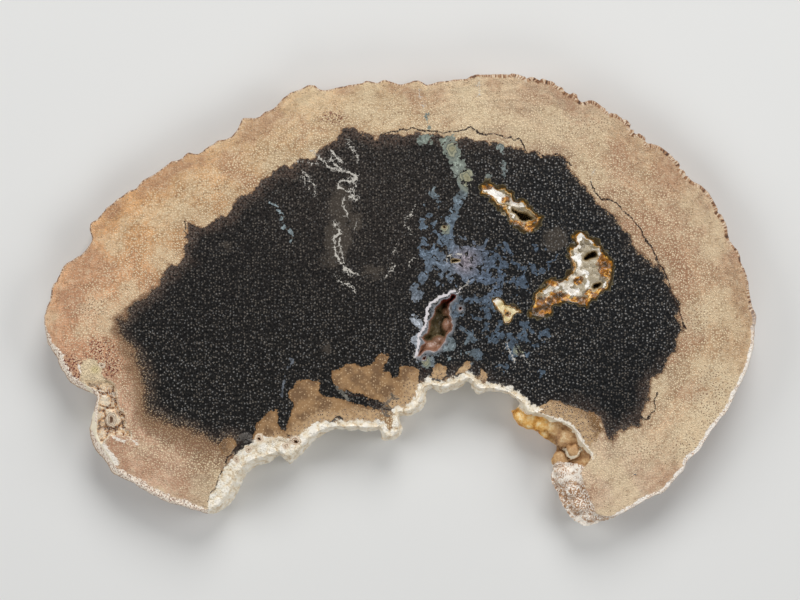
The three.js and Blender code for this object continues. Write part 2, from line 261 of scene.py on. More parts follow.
# the slab's rim, the same stations as the solid
rim = {
    "barkBevel": 1.1,
    "barkDrop": 1.8,
    "barkHalfDrop": 0.42,
    "bark": """
        -178,-15 -178.7,-8.5 -177,-3.5 -175,2 -174.5,6 -172,10.5 -169.5,15.5 -167,18.7 -162.5,21.2
        -158,24.5 -155.5,28.5 -154.5,30.5 -155.5,35 -155,39 -152,40.5 -149.5,44 -147,46.7 -141.5,50.7
        -135.5,55 -132.5,56 -129.5,59.5 -123,63.5 -117.5,67.5 -114.5,69.5 -110,70.7 -106.5,74.2 -101.5,73.7
        -96,77 -90.5,80.5 -85.5,81.7 -82,85 -80,89 -79,91 -75.5,91.5 -72,91.7 -67.5,94.7 -64,95.7 -60,100
        -55,104.2 -50,105.7 -46.5,107.7 -43,107.7 -40,105.7 -36,105.5 -31,107 -24,108 -16,110 -11.5,109.2
        -8,110.5 -4.5,109.5 0.5,108.2 5.5,109.7 9,110.2 14,108.2 20,109.7 27.5,110.5 34,111.7 39,113.5
        45,113 49.5,113.7 56,113.7 62.5,112.2 70,111.5 76.5,109.5 82.5,106 89,103 91.5,100.5 96.5,100.2
        101.5,97 106,94.2 110.5,92.5 114.5,89.5 117.5,85.5 122.5,82 126,78.7 130.5,77 135,73.7 140,68.5
        142.5,64.5 146.5,60 150.5,57.7 155,53.5 158.5,47.5 162,42.5 164,37 165.5,29.5 169.5,24.5 171.5,18
        174,12 175.5,4 176.5,-3 178.7,-7.5 178,-15 177.5,-22 175.5,-30.5 172.5,-39 168.5,-46.5 165,-54.5
        160,-61 154.5,-68.5 150,-76 144.5,-80.5 142,-85.5 137,-91 132.5,-96.2 127.5,-98.5 120,-102.5
        112.5,-106.7""",
    # side x, side y, face x, face y, drop; kind is how much of tip, ledge and bay it is,
    # halfDrop the share of the drop reached half way out, setBack how far the wall stands back
    "stretches": [
        # rough tip, a patch broken away below the face
        {"kind": (1, 0, 0), "halfDrop": 0.6, "setBack": 0.4, "stations": """
            106,-109.7,106,-108,2 100,-111.5,101,-107.7,3 93.5,-113.7,98,-106.5,4.5 86.5,-110,97,-103.5,5.5
            82,-104,95.5,-100,6 79,-97,93.5,-95.5,6 75.7,-90,91.5,-90.5,6.5 76.5,-85,91,-85.5,7"""},
        # honey-coloured ledge under the face
        {"kind": (0, 1, 0), "halfDrop": 0.68, "setBack": 0.5, "stations": """
            76,-80,94,-81.5,9 78.5,-74,95.7,-77.5,10.5 75,-71.2,93,-73.5,11.5 71.5,-69,90,-70,12
            68,-66,87.5,-65,12 64,-65.2,83.5,-62,12 59.5,-63.2,78,-60,12 56.5,-58.2,72.5,-57.5,11
            56,-55.7,67.5,-56,9 58,-54.7,64,-54.5,7"""},
        # white chalcedony that lines the bay
        {"kind": (0, 0, 1), "halfDrop": 0.3, "setBack": 0.7, "stations": """
            59.5,-52,61.5,-51,4.5 57,-49.7,58.5,-48.5,4.5 53.5,-48,54.5,-46.2,4.5 49,-46.7,49.5,-44.5,5
            44,-46.7,44.5,-44,5 39.5,-48,40,-44,6 36.2,-45.5,38,-42,5 34,-41.7,34.5,-39,5
            31.7,-43.7,30.5,-40.5,5 27.5,-45.5,26.5,-42,5.5 20.5,-47.5,20.5,-43,6 15.5,-45.5,15.5,-42,5
            13.5,-48,11,-44,5 13.5,-52,10.5,-49.5,5 10,-56.2,8,-53,5 4,-59,3.5,-55.5,5 0.5,-59,-1,-56,5
            2,-64.5,-1,-62.5,5 0,-69,-2.5,-66.5,5 -4.5,-71,-5,-68,5 -9.5,-70,-7.5,-67,5
            -10.5,-66,-9.5,-63.5,5 -15.5,-66.7,-15,-63.5,5 -20.5,-65.7,-20.5,-63,5 -26.5,-66,-26.5,-63.5,5
            -32.5,-65.5,-32,-63,5 -38.5,-68.5,-39.5,-65,6 -44.5,-73,-46.5,-69.5,7 -50.5,-79.5,-52,-75,7.5
            -55.5,-83.2,-56.5,-77.5,8 -60,-79,-60,-75.5,7 -65,-82.5,-66.5,-77.5,8 -71.5,-84,-73.5,-79.5,8
            -77,-88.5,-80,-83.5,8.5 -79.7,-94,-83,-88.5,8.5 -83.5,-101,-86,-95,8.5
            -88,-105.5,-89.5,-100,7.5 -93.5,-108,-94,-103.5,5"""},
        # left-hand lobe, where the bark is thin and slopes away under the notch
        {"kind": (0, 0, 0), "halfDrop": 0.42, "setBack": 0, "stations": """
            -100,-106.7,-99.5,-105,2.5 -108,-104.2,-107.5,-102.7,2 -115,-102,-114.5,-100.5,2
            -123,-98.5,-122.5,-97,2 -130.5,-94.5,-129.5,-93,2 -137,-90.5,-135.5,-89,2.5
            -143.5,-87.5,-140.5,-85.5,3.5 -148.5,-80.5,-145,-78.5,4.5 -153.5,-74,-149,-72.5,5
            -156,-67,-151.5,-66.5,5 -155,-60,-151.5,-60,4.5 -153,-52,-151,-52.5,3.5
            -152.7,-48.5,-150.5,-47,3.5 -158,-45.5,-156,-43,3.5 -164,-42.7,-162,-40,3.5
            -169.5,-35.5,-167,-33.5,3.5 -172.5,-28.5,-170,-26.5,3 -176.2,-22.5,-174,-21.5,2.5"""},
    ],
}

# what the polished face shows: first the black heart, then the tan patches in it
coreOutline = readPoints("""
    -141.2,-15 -140.3,-11.2 -137.5,-7.5 -133.8,-4.5 -129.5,-0.5 -125,3 -120,7.5 -115,15 -112.5,17.5
    -109.5,19.5 -107,22 -107.5,25 -105.5,28 -104.5,31.2 -105,35 -105.6,38 -102,36.5 -97.5,38 -93.8,39.5
    -90,41 -86.2,42 -84.5,45 -82.5,48 -80,52 -75,53.8 -72.5,55.5 -68.8,58.8 -65,60.6 -60,63.8
    -56.2,65.5 -53,67.5 -51.2,70 -47,70.5 -42.5,72.5 -39.5,75 -36.2,78.8 -33.8,80.5 -31.2,83.8 -28.8,85
    -25,85 -21.2,84 -16.2,83 -12.5,81.5 -10,79.5 -5,81 0,81.5 5,82.5 8.5,83 12.5,82 17.5,81 21,80.5
    25.5,80 30,80 35,80.5 40,79.5 45,78.5 48.5,79 52.5,76.5 56,75.5 60,74 63.5,72 67.5,74 72.5,72 79,73
    82.5,70.5 86,65 90,58.5 95,52.5 98.8,47.5 102.5,43.8 107,41.2 113,32.5 117,27.5 120.5,23 125,19
    129.5,17 132,15 133,12 134.5,7 135,4.5 137,0.5 139.5,-3.8 141,-8 142.5,-14.5 140,-19.5 138.5,-21.5
    138,-25 137,-27.5 135.5,-30 133,-32.5 132,-35.5 128.5,-39 124,-45 122.5,-52.5 120,-58.5 117.5,-61.5
    115,-62 112.5,-63.8 107.5,-67 105,-68 101,-65.5 100,-63 99.5,-58.8 95,-56.2 90,-54.5 85.5,-53
    81,-51.2 75,-50.5 68.5,-53.5 65,-54 60.5,-51 57.5,-47 52.5,-45.5 49,-43.5 44,-43 42,-40 39,-36
    33,-36.5 27.5,-38.5 20,-40 12.5,-40 9.5,-42 9.5,-50 7.5,-55 0,-56.5 -10,-56 -10.5,-67 -20,-65
    -29,-65 -30,-57.5 -37.5,-62 -45,-67 -55,-69 -65,-71 -71,-74.5 -80,-77.5 -82.5,-79 -85.5,-76
    -82.5,-69 -90,-72.5 -92.5,-72 -97.5,-70 -102.5,-67.5 -107.5,-64.5 -112.5,-62 -117.5,-60
    -122.5,-57.5 -125,-54.5 -125.3,-50 -125.6,-45 -127,-40 -129.5,-35 -132,-30 -133.8,-25 -135,-20
    -138.8,-16.2""")

tanOutlines = readOutlines(
    """
    -35,-35.5 -33,-35 -30,-34.5 -27,-32 -22,-32.8 -17.5,-33 -14.5,-32 -11.2,-27 -8.8,-26.2 -5.5,-26.5
    -5.5,-28.8 -7.5,-32 -9,-35 -5,-37.5 -1.2,-39.5 -0.5,-35 0.5,-33 3.8,-32 6.2,-33.5 8.8,-35.5 9,-39
    9.5,-50 7.5,-56 2.5,-56.5 -1,-53.5 -4,-55 -8,-52.5 -11,-51 -15,-49 -19,-48 -24,-46 -28.5,-45
    -32,-44 -33,-42 -34.5,-38.8""",
    """
    -55,-47 -53.8,-43.8 -50,-40.5 -45,-40 -41.2,-39.7 -40,-42 -40.3,-45 -39,-48 -34,-48.5 -29.5,-49.5
    -24,-51 -19,-52 -14.5,-54 -10.5,-55.5 -10,-62.5 -11.5,-66 -20,-64 -27.5,-65 -29,-57 -35,-60.5
    -41,-63.5 -47,-67 -52.5,-68.5 -55.5,-67 -57,-64 -56.2,-60.5 -55,-58.8 -54.5,-55 -53,-52 -55,-49.5""",
    """
    -74,-70 -71.5,-63 -69.5,-59.5 -66.2,-55.5 -62,-54.5 -61.5,-57.5 -62,-62 -59.5,-64 -56.5,-66 -57,-69
    -62,-70 -67,-72 -71,-74""",
    "-90.5,-73 -88,-70 -85,-68.8 -82.5,-69.5 -82.2,-72.5 -83,-75 -85,-78 -88,-79",
    """
    65,-54 68.5,-53.5 75,-50.5 81,-51.2 85.5,-53 90,-54.5 95,-56.2 99.5,-58.8 100,-63 101,-65.5 98,-70
    95,-73 92,-73 89,-68 85,-64 80,-62 74,-58.5 69,-57.5 65.5,-55.5""",
    "14,-39.5 16,-36 18,-32.5 20.5,-31.5 23,-32.5 23.5,-37 20.5,-39",
    "27.5,-38.5 29.5,-35 32,-31.5 35,-30.5 36.5,-33 34,-35.5 31,-36",
    "40,-38.5 39.5,-36 42,-34.5 44,-36.5 43.5,-40",
)

# stroke lines with their widths in mm: agate veins, white veinlets and cracks
veinStrokes = readStrokes(
    ("24,78 26,74 29,68 32,60", 7.2),
    ("32,60 32,54 29.5,50.5 27.5,46 26,42", 4.0),
    ("26,42 24.5,37 22.5,31", 4.6),
    ("22.5,31 19,27 15,24 10.5,22.5", 4.6),
    ("23,34 26,27 30,21 37.5,19 46,19", 7.5),
    ("12.5,23.5 20,19 27.5,16 35,12 43,11", 6.5),
    ("16,19 13,14 10,8 7.5,3", 3.4),
    ("34,26 40,25 47,22 52,16 50,8 48.5,2 48,-3", 4.4),
    ("43,11.5 50,10 58,8 63,6", 3.4),
    ("27.5,2 35,0 43,0 50,-1", 3.6),
    ("29.5,1 27.5,-6 24,-15 22,-22.5 18,-26", 4.2),
    ("56,19 62,16 70,13.5", 2.6),
    ("49.5,77.5 51,70 52,61", 1.5),
    ("13,95 14,88 15.5,80", 1.1),
    ("-65,48.5 -61.5,46 -59,43 -59.5,39 -57.5,36 -55,35 -52.5,32.5 -54,29 -55,26.5", 1.4),
    ("-53.5,-29 -56.5,-35 -58.5,-42.5 -59.5,-47.5", 0.7),
    ("-31.5,-43 -28.5,-46.5 -26.5,-49", 2.0),
    ("50,-19 56,-18 62,-18.5 68,-23", 1.8),
    ("61,-11 65,-15 69,-18", 1.6),
)
# x, y and half-widths of small agate spots
veinSpots = [(8.5, 2.5, 3.5, 4), (52.5, 25, 3.5, 2.5), (60, 10, 3.5, 2.5), (43.5, 63, 2, 2),
    (12, 80.5, 2.5, 2.5), (45, -20, 3.5, 2.5), (35, -21, 2.5, 2), (72.5, -16, 2, 1.5), (50, -34, 3, 2),
    (10, -20, 3.5, 6.5), (8, -11, 2.5, 4), (13.5, -31, 3.5, 4), (-78.5, -68.5, 3.5, 3),
    (26, -21, 2.5, 4), (38, -27, 3, 2), (56.5, -25, 2.5, 4), (-4, -48, 2.5, 2), (-7.5, -54, 2.5, 4),
    (70, -36, 1.5, 1.5)]
# looser mottling, where only the densest wisps show
mottleSpots = [(31, 19, 26, 19), (34, -12.5, 23, 22), (60, -22.5, 17, 13), (70, 19, 15, 14),
               (15, 42.5, 13, 20),
    (22.5, -22.5, 12, 13), (52.5, 0, 15, 10)]
# where the wood is speckled red, and the cleft with rusty walls
speckleSpots = [(-148, -31, 11, 10), (-165, -37, 10, 11), (-33, 91, 8, 5), (-151, -22.5, 8, 5)]
rustySpots = [(18, -10, 17, 24)]
# banded eyes in the crust and the pocket, then rings in the agate veins: x, y and half-widths
eyeSpots = [(-70, -69, 2.6, 2.4), (-76, -74.5, 2.0, 2.2), (-52.5, -70.5, 3.2, 2.6), (-57.5, -72.5, 1.8, 1.8),
    (-144.5, -59.5, 3.4, 3.6), (-82, -80, 1.8, 2.2), (-149, -33, 1.6, 1.5)]
veinRings = [(26, 75, 4.2, 6), (33.5, 61, 4.6, 7), (22.5, 36, 3, 3.6), (13, -31, 3, 3.4), (59, -25, 3, 3.4)]
# smoky, hazy places in the black
hazeSpots = [(-30, 47.5, 7, 11), (-31, 30, 8, 13), (-14, 14.5, 7, 4), (-87, 27, 3.5, 3),
             (-36.5, -25, 3.5, 4),
    (77.5, 30, 7.5, 7), (-35, 19, 6, 4), (-22.5, 39, 5, 6)]

paleStrokes = readStrokes(
    ("-49,64.5 -46,61.5 -44,58.5 -42.5,55 -41.5,51", 0.5),
    ("-48.5,62 -46.5,57.5 -45,54", 0.5),
    ("-45,75 -42,72 -39,70 -35,66.5 -32,65 -27.5,65", 0.7),
    ("-34.5,75 -32,72 -29.5,70", 1.2),
    ("-35,70 -32,67 -28.5,66", 0.9),
    ("-26,80 -24,76 -22,72 -21,68.5", 0.5),
    ("-28.5,64 -25,63.5 -21.5,61.5 -25,59.5 -29.5,60 -30.5,56.5 -28.5,55 -26,54 -23.5,56", 0.9),
    ("-27.5,51 -28,47.5 -26.5,44 -27,42", 0.8),
    ("-25,52.5 -21,50.5", 0.7),
    ("-24.5,59.5 -22,57 -23,53.5", 0.8),
    ("-33.5,40 -31.5,37 -30,35 -33,31 -32,27 -32.5,23 -30.5,19 -28,16 -25.5,13", 0.8),
    ("-29.5,35 -30.5,30 -29.5,26 -29,22 -28,18", 0.6),
    ("-27,16 -24,14 -21,13", 0.8),
    ("-22,39.5 -22.5,35.5", 0.6),
    ("7,47 5.5,43 3,41 3,37 5,37 5.5,33", 0.5),
    ("7,21.5 4.5,19 4,16", 0.5),
    ("-4,18 -5,15", 0.4),
    ("-2,27.5 -2,24", 0.4),
    ("-52,69 -48.5,69", 0.4),
    ("-45,68.5 -40,68.5", 0.5),
    ("10.5,105 11,96", 0.4),
    ("39.5,111 39.5,101.5", 0.4),
    ("97,65 95,56", 0.4),
    ("61,-27.5 65,-33", 0.5),
    ("53.5,-22 55,-27 57.5,-31", 0.5),
    ("57.5,-31 58.5,-34", 0.5),
    ("-32.5,12 -29.5,9 -25,8 -22,4", 0.7),
    ("-7,12 -4,14 -2,17", 0.6),
    ("27.3,5 22.5,2.4 17.3,-0.3 14,-4 13,-7 13.2,-11 12,-14 9.6,-17.7 8.8,-21 8.8,-24.3 7.6,-29", 1.2),
    ("28.5,4 31,7 34,9", 0.5),
    ("23.5,19 24.5,21.5 28,22.5 31.5,22 33,20", 0.6),
)
# where the bundles show best in the outer wood, and where it is porous
dottedStrokes = readStrokes(
    ("-152,18 -128,50 -92,68 -55,82 -20,90", 13),
    ("-129,-44 -112,-66 -88,-78", 20),
    ("24,93 60,86 95,68 125,44 140,15", 9),
    ("158,-16 152,-42 142,-60", 12),
    ("-162,-2 -152,-22 -142,-34", 15),
)
porousSpots = [(157, -50, 13, 17), (120, -76, 12, 6), (148, -10, 9, 9), (-153, -4, 8, 7), (92, 88, 16, 5),
    (141, -72, 9, 7)]
# white crust along the ledge, and beside the pocket
crustStrokes = readStrokes(
    ("""
        63,-53.5 65,-55.5 68.8,-56.9 72.5,-57.5 76.2,-59.6 81.2,-60.6 85,-62.6 88,-65.2 90.6,-69.4 90.6,-71.9
        92.7,-74.4 96.2,-76.6 96.8,-79""", 2.3),
    ("-153.5,-62 -151,-68 -148,-73 -144.5,-78 -141,-82", 3.0),
    ("-143,-69.5 -139,-70.5 -135,-69.5 -132,-71 -129.5,-73", 0.9),
    ("-160.5,-33 -157.5,-41 -154.5,-47 -153.5,-56 -154,-64", 1.6),
    ("-81,-79 -74,-73 -68,-71 -60,-70 -52,-71.5", 4.0),
    ("83,-75.4 84,-77.9 86.8,-79 89.7,-78 90.4,-75.6", 1.5),
)

crackStrokes = readStrokes(
    ("""
        -10,82.5 -5,84 0,84.8 5,86 12.5,85 20,84 27.5,84 31,85.5 35,85.8 39,84 45,83 50,83
        52.5,81.5 55,82 57,80.5 59,81 60.5,80 61.5,76 63.5,73.5""", 0.9),
    ("65,74.5 70,74 72.5,72 76,72.5 79,73 82.5,70.5 85,67.5", 0.9),
    ("""
        95,59 97,54 100,51.5 103,50 106,49.5 109,48.5 111,46 114,43 116.5,40 120.5,34 123.8,29.5
        125.5,27.2 127,25 127.8,22.5 128.8,18.8 129.5,16.5 132,15.5 133,12 134.5,7 135,4.5 137,0.5
        139.5,-3.8 141,-8 142.5,-14.5""", 0.9),
    ("128.5,-46 128,-50 127.5,-53.8 125.5,-57.5 123.8,-59.5 120,-59 117.5,-61.5", 0.9),
    ("-107.5,39 -108,35 -106,32.5", 0.9),
    ("-27.5,-46.5 -20,-48 -15,-51 -11,-54 -5,-55.5", 0.6),
    ("80,-70 81.5,-74 84,-75", 0.9),
    ("-148.5,-75 -146,-81 -141,-89", 0.9),
    ("-79,-71 -82.5,-74.5 -85.5,-79 -88,-84 -90.5,-89.5 -93.5,-95 -96,-100", 0.8),
    ("11,-35 12.5,-37 14,-39", 0.9),
)

# agate-lined hollows: their outer edge, the white crystal inside, amber spots and open mouths
vugOutlines = readOutlines(
    """
    40,56.5 41.5,59 42.5,61 45,60 48,57.5 51,58 53.5,56.5 56,53.5 58.5,50.5 62.5,49 65.5,47 68,43.5
    71.5,42.5 70.5,37.5 68,36 67,33.5 64.5,32.5 62,34 59.5,36 56,37.5 54,40 53,43 50.5,45 47,47 44,50
    42,52.5 40,54""",
    """
    84,31.5 86,33.5 89,35 93,34.5 96,32 99,30 102,27 104,24 106,20 106.5,16 106,7.5 104,4 100,1.5 96,0
    93.5,-2.5 90,-3 85,-1.5 81,-1 78.5,-2.5 77,-6 75,-8 72.5,-10.5 69,-9.5 65.5,-8.5 63.5,-6.5 65,-3.5
    65.5,0 67,3 69,6 71.5,8 74,10.5 76.5,11.5 80,10.5 82.5,10.5 83.5,14 85,17.5 83.5,21 83,24.5 85,26.5
    87,28.5 85.5,30.5""",
    "46.5,1.5 49.5,1.2 52.5,-0.6 58.8,-2.6 60.5,-5.5 57.5,-8.5 55,-13 51.8,-12 50.2,-8 47.6,-4",
)
vugStretches = (1, 1, 2.6)  # the small hollow's bands are this much narrower
whiteOutlines = readOutlines(
    """
    42,55 44.5,57.5 47,55.5 51.5,54 54.5,51.5 56.5,50 60,48 63.5,46 57.5,45.5 54,47 50.5,48.5 46,51
    44,53.5""",
    "87.5,33.5 91,33.5 91.5,30 90,26 87.5,26 88,30",
    "81,6 85,6.5 89,5.5 92,3.5 89,2 84,2.5",
    "69,1 74,2 74,-2 70,-2",
    "96,25.5 101.5,26.5 101.5,22 98.5,23",
    "47.5,0.6 52.5,-1.6 58,-3.8 59,-5.5 56.5,-8 54.4,-11.5 52.4,-11 51.2,-7.6 48.6,-3.8",
)
whiteStrokes = readStrokes(
    ("""
        90,33 88.5,27 87.5,24.5 89.5,22 86.5,21 89,19.5 90,17 89,15 90.5,13 86,11.5 85.5,9 83,7.5
        79,8.5 78,6.5 74.5,5 72.5,4.5""", 2.4),
    ("54.5,46 57.5,41 61,39 64,38", 0.5),
    ("92,32 96,30 99.5,27", 1.2),
    ("95,6 98,3 102,6 103,9", 0.9),
    ("90.5,15 93,13 94,9.5 93.5,6", 1.4),
    ("66.5,-4 70,0 74,0", 0.6),
    ("48.5,-2.5 52.5,-4 53.5,-7 53.5,-10.5", 0.6),
)
amberSpots = [(103, 17, 4.2, 7), (88.8, 9.2, 2.6, 2.4), (71.5, -3.5, 6.5, 5.5), (80, 1.5, 5, 3),
    (99, 3.4, 5.5, 3), (44, 57.5, 3, 2.8), (67, 37, 5, 5.5), (80, 35.5, 2.5, 1.5), (76, 8, 2.5, 2),
    (90, -0.5, 6, 2.4),
    (53.6, -6.6, 2.2, 2.4), (53, 50, 2.4, 2), (58, 38.5, 4, 2.2)]
hollowOutlines = readOutlines(
    """
    54.5,46 57,45.5 60,45 64,44.5 66,42.5 68.5,40.5 66,39 63,38.5 60.5,39.5 58.5,41.5 56.5,43 55,44""",
    "92,22.5 94.5,24 97,25 99,24 100,22 98,20.5 96,20 93,18.5 91.5,20.5",
    "95,6 96.5,8 99,9 101,9.5 102,8 100.5,6 98.5,5 96.5,4.5",
    """
    26,3.5 28.5,3 28.2,1 25.8,-1 24.5,-4 25,-7.5 26.4,-10.5 25.8,-14.5 23.5,-17.5 22.5,-20.5 20,-24 16,-26.2
    12,-26.4 9,-28.8 9.4,-26 10.5,-23 12,-21 10.9,-18.5 13.4,-16.5 14.7,-11 16,-7 18,-3 20.5,-1.5 23.5,0""",
    "25.5,20 27.5,20.5 30.5,20 30.5,18.5 28,18 25.5,18",
    "53,-5.5 54.5,-5.5 55,-7 53.5,-7.5",
    "-70.8,-68.5 -69.2,-68.5 -69.2,-70 -70.8,-70",
    "-53.2,-70.2 -51.5,-70.2 -51.5,-72 -53.2,-72",
    "22,36.8 23.8,36.8 23.8,35 22,35",
    "29.8,-3.2 31.2,-3.2 31.2,-4.8 29.8,-4.8",
    "11.8,-28.2 13.2,-28.2 13.2,-29.8 11.8,-29.8",
    "51.5,44 53,44.5 53,43 51.5,43",
)
# their depths in mm, and the share of it by which each floor rises and falls
hollowDeeps = [15, 15, 14, 16, 7, 5, 6, 5, 4, 4, 4, 4]
hollowRises = [0.2, 0.15, 0.15, 0.3, 0.2, 0, 0, 0, 0, 0, 0, 0]
cleftIndex = 3  # the rusty cleft's place in these lists
# lumps in the rusty cleft: x, y, half-widths and how far their tops stay under the face
cleftLumps = [(24, -12.5, 3.2, 3.8, 3), (15, -24, 6, 3.8, 2.8), (19.5, -20.5, 4, 3, 4),
              (23.5, -6, 2.6, 2.6, 4.5)]

pocketOutline = readPoints("""
    -160,-34 -159,-31.5 -156,-29.6 -152.5,-31 -149.5,-33 -148,-37.5 -144.5,-40.5 -141.5,-43.5
    -141,-51 -140,-54.5 -137,-56.5 -136.5,-64.5 -134.5,-65.5 -134,-68.8 -145,-68 -150,-72.5
    -152.5,-67.5 -151.5,-60 -151.5,-50 -152.5,-45 -156,-44 -159,-40""")
# swellings: x, y, reach and how far the top stays under the face
pocketKnobs = [(-147.5, -50, 3.4, 0.6), (-143.5, -60, 4.4, 0.3)]
ledgeKnobs = [(60.5, -58.5, 3.6, 4.6), (65.5, -60.5, 4.6, 5), (71.5, -62, 4.6, 4.4), (77.5, -63.8, 4.6, 3.6),
              (73.5, -66.5, 3.4, 7.4), (84, -69, 5.4, 2.8), (86.5, -76, 3.8, 1.2), (80.5, -80, 4.6, 5.2),
              (83, -88.5, 5, 2.4), (87, -95.5, 4.6, 2.2), (90.5, -103, 4.6, 1.8)]

# stains in the outer wood, the heart and the agate veins, as judged: x, y, reach and colour
woodTints = [
    (-152, 8, 26, "#e2ae83"), (-135, 38, 22, "#dda872"), (-98, 66, 22, "#dfb384"), (-60, 93, 24, "#e4c297"),
    (-10, 97, 26, "#dbbc94"), (35, 104, 24, "#e1c7a3"), (75, 97, 24, "#c5a688"), (118, 70, 24, "#caa985"),
    (150, 30, 26, "#c6a383"), (160, -20, 26, "#c5a37e"), (140, -65, 24, "#e0c09b"),
    (112, -92, 22, "#dbbea1"),
    (-118, -86, 13, "#dcb598"), (-96, -76, 11, "#a08263"),
    (-114, -66, 9, "#94745a"), (-98, -97, 10, "#c8ae90"), (-140, -60, 18, "#cfa589"),
    (108, 60, 10, "#bd9477"),
    (138, 22, 10, "#b58f6e"), (152, -46, 12, "#dcc29c"), (136, -40, 8, "#b7987a"), (-60, 72, 10, "#b08a62"),
    (-105, 48, 9, "#b68a5c"), (-160, -4, 8, "#d8a07c"), (-158, -28, 16, "#ca9574"), (0, -60, 40, "#b59269"),
]
coreTints = [
    (-80, 20, 40, "#1a1614"), (-35, 60, 40, "#312a25"), (30, 75, 25, "#221e1b"), (90, 10, 60, "#111214"),
    (-100, -30, 40, "#0f0d0b"), (-40, -20, 40, "#13100d"), (40, -20, 40, "#0e0f12"),
    (112, -42, 26, "#08090b"),
    (-10, 40, 30, "#2b2521"), (60, 30, 14, "#0a0a0c"),
]
veinTints = [
    (26, 74, 8, "#7d867a"), (33, 61, 8, "#848a80"), (30, 48, 9, "#5f6c77"), (20, 30, 10, "#5a6876"),
    (32, 18.5, 5.5, "#9a8c91"), (24, 14, 7, "#5e6a76"), (45, 8, 9, "#566273"), (55, 15, 16, "#475463"),
    (32, 6, 8, "#5a6877"), (10, -15, 8, "#9a9fa6"), (40, -12, 16, "#485562"), (28, -24, 9, "#6d7778"),
    (-6, -50, 9, "#6e6254"), (-78, -68, 8, "#56514c"), (-58, 38, 16, "#7d898c"), (-56, -38, 12, "#5c6168"),
    (-30, -46, 8, "#6a675f"), (62, -24, 14, "#4a5866"),
]

slabShape = {
    # mm, except the last
    "barkStep": 0.95,  # between the mesh's points along the bark
    "brokenStep": 0.75,  # and along the broken side
    "latticeStep": 0.62,  # between the face's finest points
    "crustRelief": 2.4,  # from the tops of the crust's knobs down to their creases
    "crustLapRelief": 1.1,  # the same where the crust laps over the face
    "rockRelief": 0.9,  # lumps on the ledge and the tip
    "gritRelief": 0.5,  # and small bumps on those
    "rimRelief": 0.12,
    "pocketDepth": 2.8,
    "basinDepth": 1.9,  # of the agate round the hollows
    "crackDepth": 0.1,
    "fluteDepth": 0.45,  # the bark's upright fibres
    "sideRows": 17,  # rows of points down the side
}
# lumps on the broken side, each a size in mm and a seed
crustLumps, crustGrains, rockLumps = (5.2, 21), (2.3, 22), (3.6, 23)


def curveThrough(points, counts):
    # a smooth closed line through the points, with counts[i] steps after point i
    n = len(points)
    result = []
    for i in range(n):
        p = [points[(i + k - 1) % n] for k in range(4)]
        t = [0.0]
        for k in range(3):
            t.append(t[-1] + max(1e-6, np.linalg.norm(p[k + 1] - p[k])) ** 0.5)
        for m in range(counts[i]):
            u = t[1] + (t[2] - t[1]) * m / counts[i]
            a = [(p[k] * (t[k + 1] - u) + p[k + 1] * (u - t[k])) / (t[k + 1] - t[k]) for k in range(3)]
            b = [(a[k] * (t[k + 2] - u) + a[k + 1] * (u - t[k])) / (t[k + 2] - t[k]) for k in range(2)]
            result.append((b[0] * (t[2] - u) + b[1] * (u - t[1])) / (t[2] - t[1]))
    return np.array(result)


def alongStations(values, counts):
    n = len(values)
    rows = values.reshape(n, -1)
    shares = [np.arange(counts[i])[:, None] / counts[i] for i in range(n)]
    mixed = np.concatenate([rows[i] + (rows[(i + 1) % n] - rows[i]) * shares[i] for i in range(n)])
    return mixed if values.ndim > 1 else mixed[:, 0]


# stations: side x, side y, face x, face y, drop, then the manners of the stretch
bark = readPoints(rim["bark"])
before = readPoints(rim["stretches"][-1]["stations"], 5)[-1][:2]
after = readPoints(rim["stretches"][0]["stations"], 5)[0][:2]
whole = np.vstack([before, bark, after])
along = whole[2:] - whole[:-2]
along /= np.linalg.norm(along, axis=1)[:, None]
barkFace = bark + np.stack([along[:, 1], -along[:, 0]], axis=1) * rim["barkBevel"]
stationRows = [np.hstack([bark, barkFace, np.full((len(bark), 1), rim["barkDrop"])])]
kinds = [np.zeros((len(bark), 3))]
manners = [np.tile([rim["barkHalfDrop"], 0.0], (len(bark), 1))]
for stretch in rim["stretches"]:
    rows = readPoints(stretch["stations"], 5)
    stationRows.append(rows)
    kinds.append(np.tile(stretch["kind"], (len(rows), 1)))
    manners.append(np.tile([stretch["halfDrop"], stretch["setBack"]], (len(rows), 1)))
stationRows, kinds, manners = np.vstack(stationRows), np.vstack(kinds), np.vstack(manners)

spans = np.linalg.norm(np.roll(stationRows[:, :2], -1, axis=0) - stationRows[:, :2], axis=1)
stepLength = np.where(kinds.sum(axis=1) > 0, slabShape["brokenStep"], slabShape["barkStep"])
counts = np.maximum(2, np.round(spans / stepLength)).astype(int)
sideRing = curveThrough(stationRows[:, :2], counts)
faceRing = curveThrough(stationRows[:, 2:4], counts)
dropRing = alongStations(stationRows[:, 4], counts)
kindRing = alongStations(kinds, counts)  # tip, ledge, bay
mannerRing = alongStations(manners, counts)
ringCount = len(sideRing)
ringSteps = np.linalg.norm(np.roll(sideRing, -1, axis=0) - sideRing, axis=1)
ringAlong = np.concatenate([[0], np.cumsum(ringSteps)[:-1]])
ahead = 3  # points each way, so that the direction of the rim comes out smooth
tangent = np.roll(sideRing, -ahead, axis=0) - np.roll(sideRing, ahead, axis=0)
tangent /= np.linalg.norm(tangent, axis=1)[:, None]
outward = np.stack([-tangent[:, 1], tangent[:, 0]], axis=1)

bayRing, ledgeRing, tipRing = kindRing[:, 2], kindRing[:, 1], kindRing[:, 0]
barkRing = np.clip(1 - kindRing.sum(axis=1), 0, 1)
